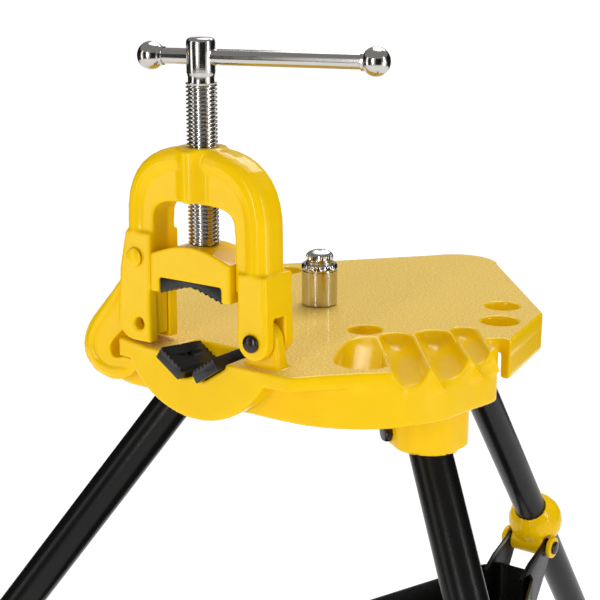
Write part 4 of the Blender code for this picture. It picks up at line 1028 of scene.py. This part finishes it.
class TRISTAND_OT_pins(Operator):
    """Turn the domed heads of the yoke's hinge pin and the hook's rivet"""

    bl_idname = "tristand.pins"
    bl_label = "Pins"

    def execute(self, context):
        yoke_low, yoke_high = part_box("yoke")
        half_deep = (yoke_high.y - yoke_low.y) / 2
        for node in ("yoke_hinge_pin", "hook_rivet"):
            place = middle(node)
            centre = np.array((place.x, (yoke_low.y + yoke_high.y) / 2, place.z))
            low, high, head_r = reach_of(node, centre, BACK)
            edge = half_deep + RIVET_STAND
            shank_r = head_r * RIVET_SHANK_SHARE
            rows = dome(head_r, -low - edge, -edge)
            rows += [(head_r * RIVET_EDGE_SHARE, -half_deep), (shank_r, -half_deep), (shank_r, half_deep)]
            rows += [(radius, -distance) for radius, distance in reversed(dome(head_r, high - edge, -edge))]
            stand_in(node, "turned", lathe(centre, BACK, rows, around=56))
        return {"FINISHED"}


class TRISTAND_OT_tray(Operator):
    """Press the brace tray: broken edges, and raised ribs on its floor"""

    bl_idname = "tristand.tray"
    bl_label = "Brace tray"

    def execute(self, context):
        sizes = context.scene.tristand_sizes
        bevelled_copy("brace_tray", TRAY_EDGE, TRAY_EDGE_DEG)
        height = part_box("brace_tray")[0].z + RIB_ABOVE_LOW
        first = JOINTS["tray_level"]["pos_m"][1] + RIB_FROM_PIN
        meshes = []
        for side in (-1, 1):
            for number in range(RIBS_A_SIDE):
                out = side * (RIB_OUT + RIB_OUT_STEP * number)
                tip = np.array((out, first + RIB_FRONT_STEP * number, height))
                way = np.array((side * RIB_WAY[0], RIB_WAY[1], 0.0))
                meshes.append(self.rib(sizes, tip, tip + way * (RIB_LONG + RIB_LONG_STEP * number)))
        piece("tray_ribs", join_meshes(meshes), BODY_OF["brace_tray"], SLOT_OF["brace_tray"])
        return {"FINISHED"}

    def rib(self, sizes, start, end):
        """A long bead: point = line + across * wide * w * cos a + up * tall * w * sin a.

        w = sqrt(1 - |2 s - 1|^8) rounds both of its ends, and its lower half lies in the tray's floor.
        """
        share = np.linspace(0, 1, RIB_ROWS)[:, None]
        angle = all_round(BEAD_COLUMNS)
        size = np.sqrt(np.clip(1 - np.abs(2 * share - 1) ** 8, RIB_TIP, 1))
        way = (end - start) / np.linalg.norm(end - start)
        across = np.cross(way, UP)
        line = start + share[..., None] * (end - start)
        wide = (sizes.rib_half_wide * size * np.cos(angle))[..., None] * across
        tall = (sizes.rib_tall * size * np.sin(angle))[..., None] * UP
        return grid_mesh(line + wide + tall)


class TRISTAND_OT_jaws(Operator):
    """Break the edges of the three jaws"""

    bl_idname = "tristand.jaws"
    bl_label = "Jaws"

    def execute(self, context):
        for node in ("lower_jaw_left", "lower_jaw_right", "upper_jaw"):
            bevelled_copy(node, JAW_EDGE, JAW_EDGE_DEG)
        return {"FINISHED"}


class TRISTAND_OT_finishes(Operator):
    """Give every carried-over node its finish"""

    bl_idname = "tristand.finishes"
    bl_label = "Finishes"

    def execute(self, context):
        for name, node in frame["nodes"].items():
            node.data.materials.clear()
            node.data.materials.append(finish_of(SLOT_OF[name]))
        return {"FINISHED"}


def linked(name, data):
    """A new object in the scene, at the origin."""
    made = bpy.data.objects.new(name, data)
    bpy.context.scene.collection.objects.link(made)
    return made


def turn_to(made, way):
    """Turns a light or the camera to look along a direction."""
    made.rotation_euler = way.to_track_quat("-Z", "Y").to_euler()


def softbox(name, azimuth_deg, distance, height, aim, size, radiance):
    """A rectangular light at an azimuth from the operator's side, turned to its aim.

    Its energy is its radiance times pi times its area.
    """
    light = bpy.data.lights.new(name, "AREA")
    light.shape = "RECTANGLE"
    light.size, light.size_y = size
    light.energy = radiance * math.pi * size[0] * size[1]
    light.spread = math.radians(SOFTBOX_SPREAD_DEG)
    lamp = linked(name, light)
    turn = math.radians(azimuth_deg)
    lamp.location = (aim[0] + distance * math.sin(turn), aim[1] - distance * math.cos(turn), height)
    turn_to(lamp, Vector(aim) - lamp.location)


def card(name, centre, from_deg, to_deg, distance, tall):
    """A dark card bent round the vise, which shows only in reflections.

    Its point is centre + distance * (sin a, -cos a), from the floor up to tall.
    """
    angle = np.radians(np.linspace(from_deg, to_deg, CARD_COLUMNS))[None, :]
    height = np.array((0.0, tall))[:, None]
    points = grid_of(centre[0] + distance * np.sin(angle), centre[1] - distance * np.cos(angle), height)
    made = linked(name, grid_mesh(points, close_round=False, caps=()))
    paint = Paint(f"{name}_paint", CARD_COLOUR, Roughness=0.95, Specular_IOR_Level=0.05)
    made.data.materials.append(paint.material)
    made.visible_camera = made.visible_diffuse = made.visible_shadow = False


class TRISTAND_OT_stage(Operator):
    """Lay the floor, hang the lights and the dark cards, and set the camera"""

    bl_idname = "tristand.stage"
    bl_label = "Stage"

    def execute(self, context):
        studio = context.scene.tristand_studio
        vise = middle("clamp_screw")
        aim = (vise.x, vise.y + AIM_BEHIND, AIM_HEIGHT)
        self.floor(studio)
        self.sky(context.scene, studio)
        for name, distance, height, size in SOFTBOXES:
            softbox(name, getattr(studio, f"{name}_turn"), distance, height, aim, size, getattr(studio, name))
        for name, from_deg, to_deg in CARDS:
            card(name, aim, from_deg, to_deg, studio.card_distance, studio.card_height)
        self.overhead(studio)
        self.camera(context.scene, studio, vise)
        context.scene.view_settings.view_transform = "Standard"
        return {"FINISHED"}

    def floor(self, studio):
        """A wide pale floor that glows like a lit sweep."""
        reach = studio.floor_reach
        corners = [(-reach, -reach, 0), (reach, -reach, 0), (reach, reach, 0), (-reach, reach, 0)]
        mesh = bpy.data.meshes.new("floor")
        mesh.from_pydata(corners, [], [(0, 1, 2, 3)])
        glow = {"Emission_Color": (1, 1, 1, 1), "Emission_Strength": studio.floor_glow}
        paint = Paint("floor_paint", studio.floor_white, Roughness=0.9, Specular_IOR_Level=0.1, **glow)
        mesh.materials.append(paint.material)
        linked("floor", mesh)

    def sky(self, scene, studio):
        """Even white light from all round."""
        world = bpy.data.worlds.new("studio")
        world.use_nodes = True
        sky = world.node_tree.nodes["Background"]
        sky.inputs["Color"].default_value = (1, 1, 1, 1)
        sky.inputs["Strength"].default_value = studio.room
        scene.world = world

    def overhead(self, studio):
        """A broad soft light from above."""
        sun = bpy.data.lights.new("overhead", "SUN")
        sun.energy = studio.overhead
        sun.angle = math.radians(OVERHEAD_DEG)
        turn_to(linked("overhead", sun), Vector(OVERHEAD_WAY))

    def camera(self, scene, studio, vise):
        """The eye: its way is (-sin turn * cos drop, cos turn * cos drop, -sin drop)."""
        camera = bpy.data.cameras.new("eye")
        camera.sensor_width = SENSOR_MM
        camera.lens = studio.lens
        camera.clip_start = CLIP_START
        camera.clip_end = 2 * studio.floor_reach
        eye = linked("eye", camera)
        eye.location = (vise.x + studio.eye_right, vise.y - studio.eye_front, studio.eye_height)
        turn, drop = studio.eye_turn, studio.eye_drop
        level = math.cos(drop)
        turn_to(eye, Vector((-math.sin(turn) * level, math.cos(turn) * level, -math.sin(drop))))
        scene.camera = eye


OPERATORS = (
    TRISTAND_OT_castings,
    TRISTAND_OT_clamp,
    TRISTAND_OT_brace_screw,
    TRISTAND_OT_legs,
    TRISTAND_OT_pins,
    TRISTAND_OT_tray,
    TRISTAND_OT_jaws,
    TRISTAND_OT_finishes,
    TRISTAND_OT_stage,
)


class TRISTAND_PT_panel(Panel):
    """Lists the tristand's steps and settings"""

    bl_label = "Tristand"
    bl_idname = "TRISTAND_PT_panel"
    bl_space_type = "VIEW_3D"
    bl_region_type = "UI"
    bl_category = "Tristand"

    def draw(self, context):
        for operator in OPERATORS:
            self.layout.operator(operator.bl_idname)
        scene = context.scene
        for group in (scene.tristand_look, scene.tristand_sizes, scene.tristand_studio):
            for name in group.__annotations__:
                self.layout.prop(group, name)


CLASSES = (TristandLook, TristandSizes, TristandStudio, *OPERATORS, TRISTAND_PT_panel)


def register():
    for each in CLASSES:
        bpy.utils.register_class(each)
    bpy.types.Scene.tristand_look = PointerProperty(type=TristandLook)
    bpy.types.Scene.tristand_sizes = PointerProperty(type=TristandSizes)
    bpy.types.Scene.tristand_studio = PointerProperty(type=TristandStudio)


def unregister():
    del bpy.types.Scene.tristand_look
    del bpy.types.Scene.tristand_sizes
    del bpy.types.Scene.tristand_studio
    for each in reversed(CLASSES):
        bpy.utils.unregister_class(each)


def main():
    register()
    bpy.ops.tristand.castings()
    bpy.ops.tristand.clamp()
    bpy.ops.tristand.brace_screw()
    bpy.ops.tristand.legs()
    bpy.ops.tristand.pins()
    bpy.ops.tristand.tray()
    bpy.ops.tristand.jaws()
    bpy.ops.tristand.finishes()
    bpy.ops.tristand.stage()


if __name__ == "__main__":
    main()
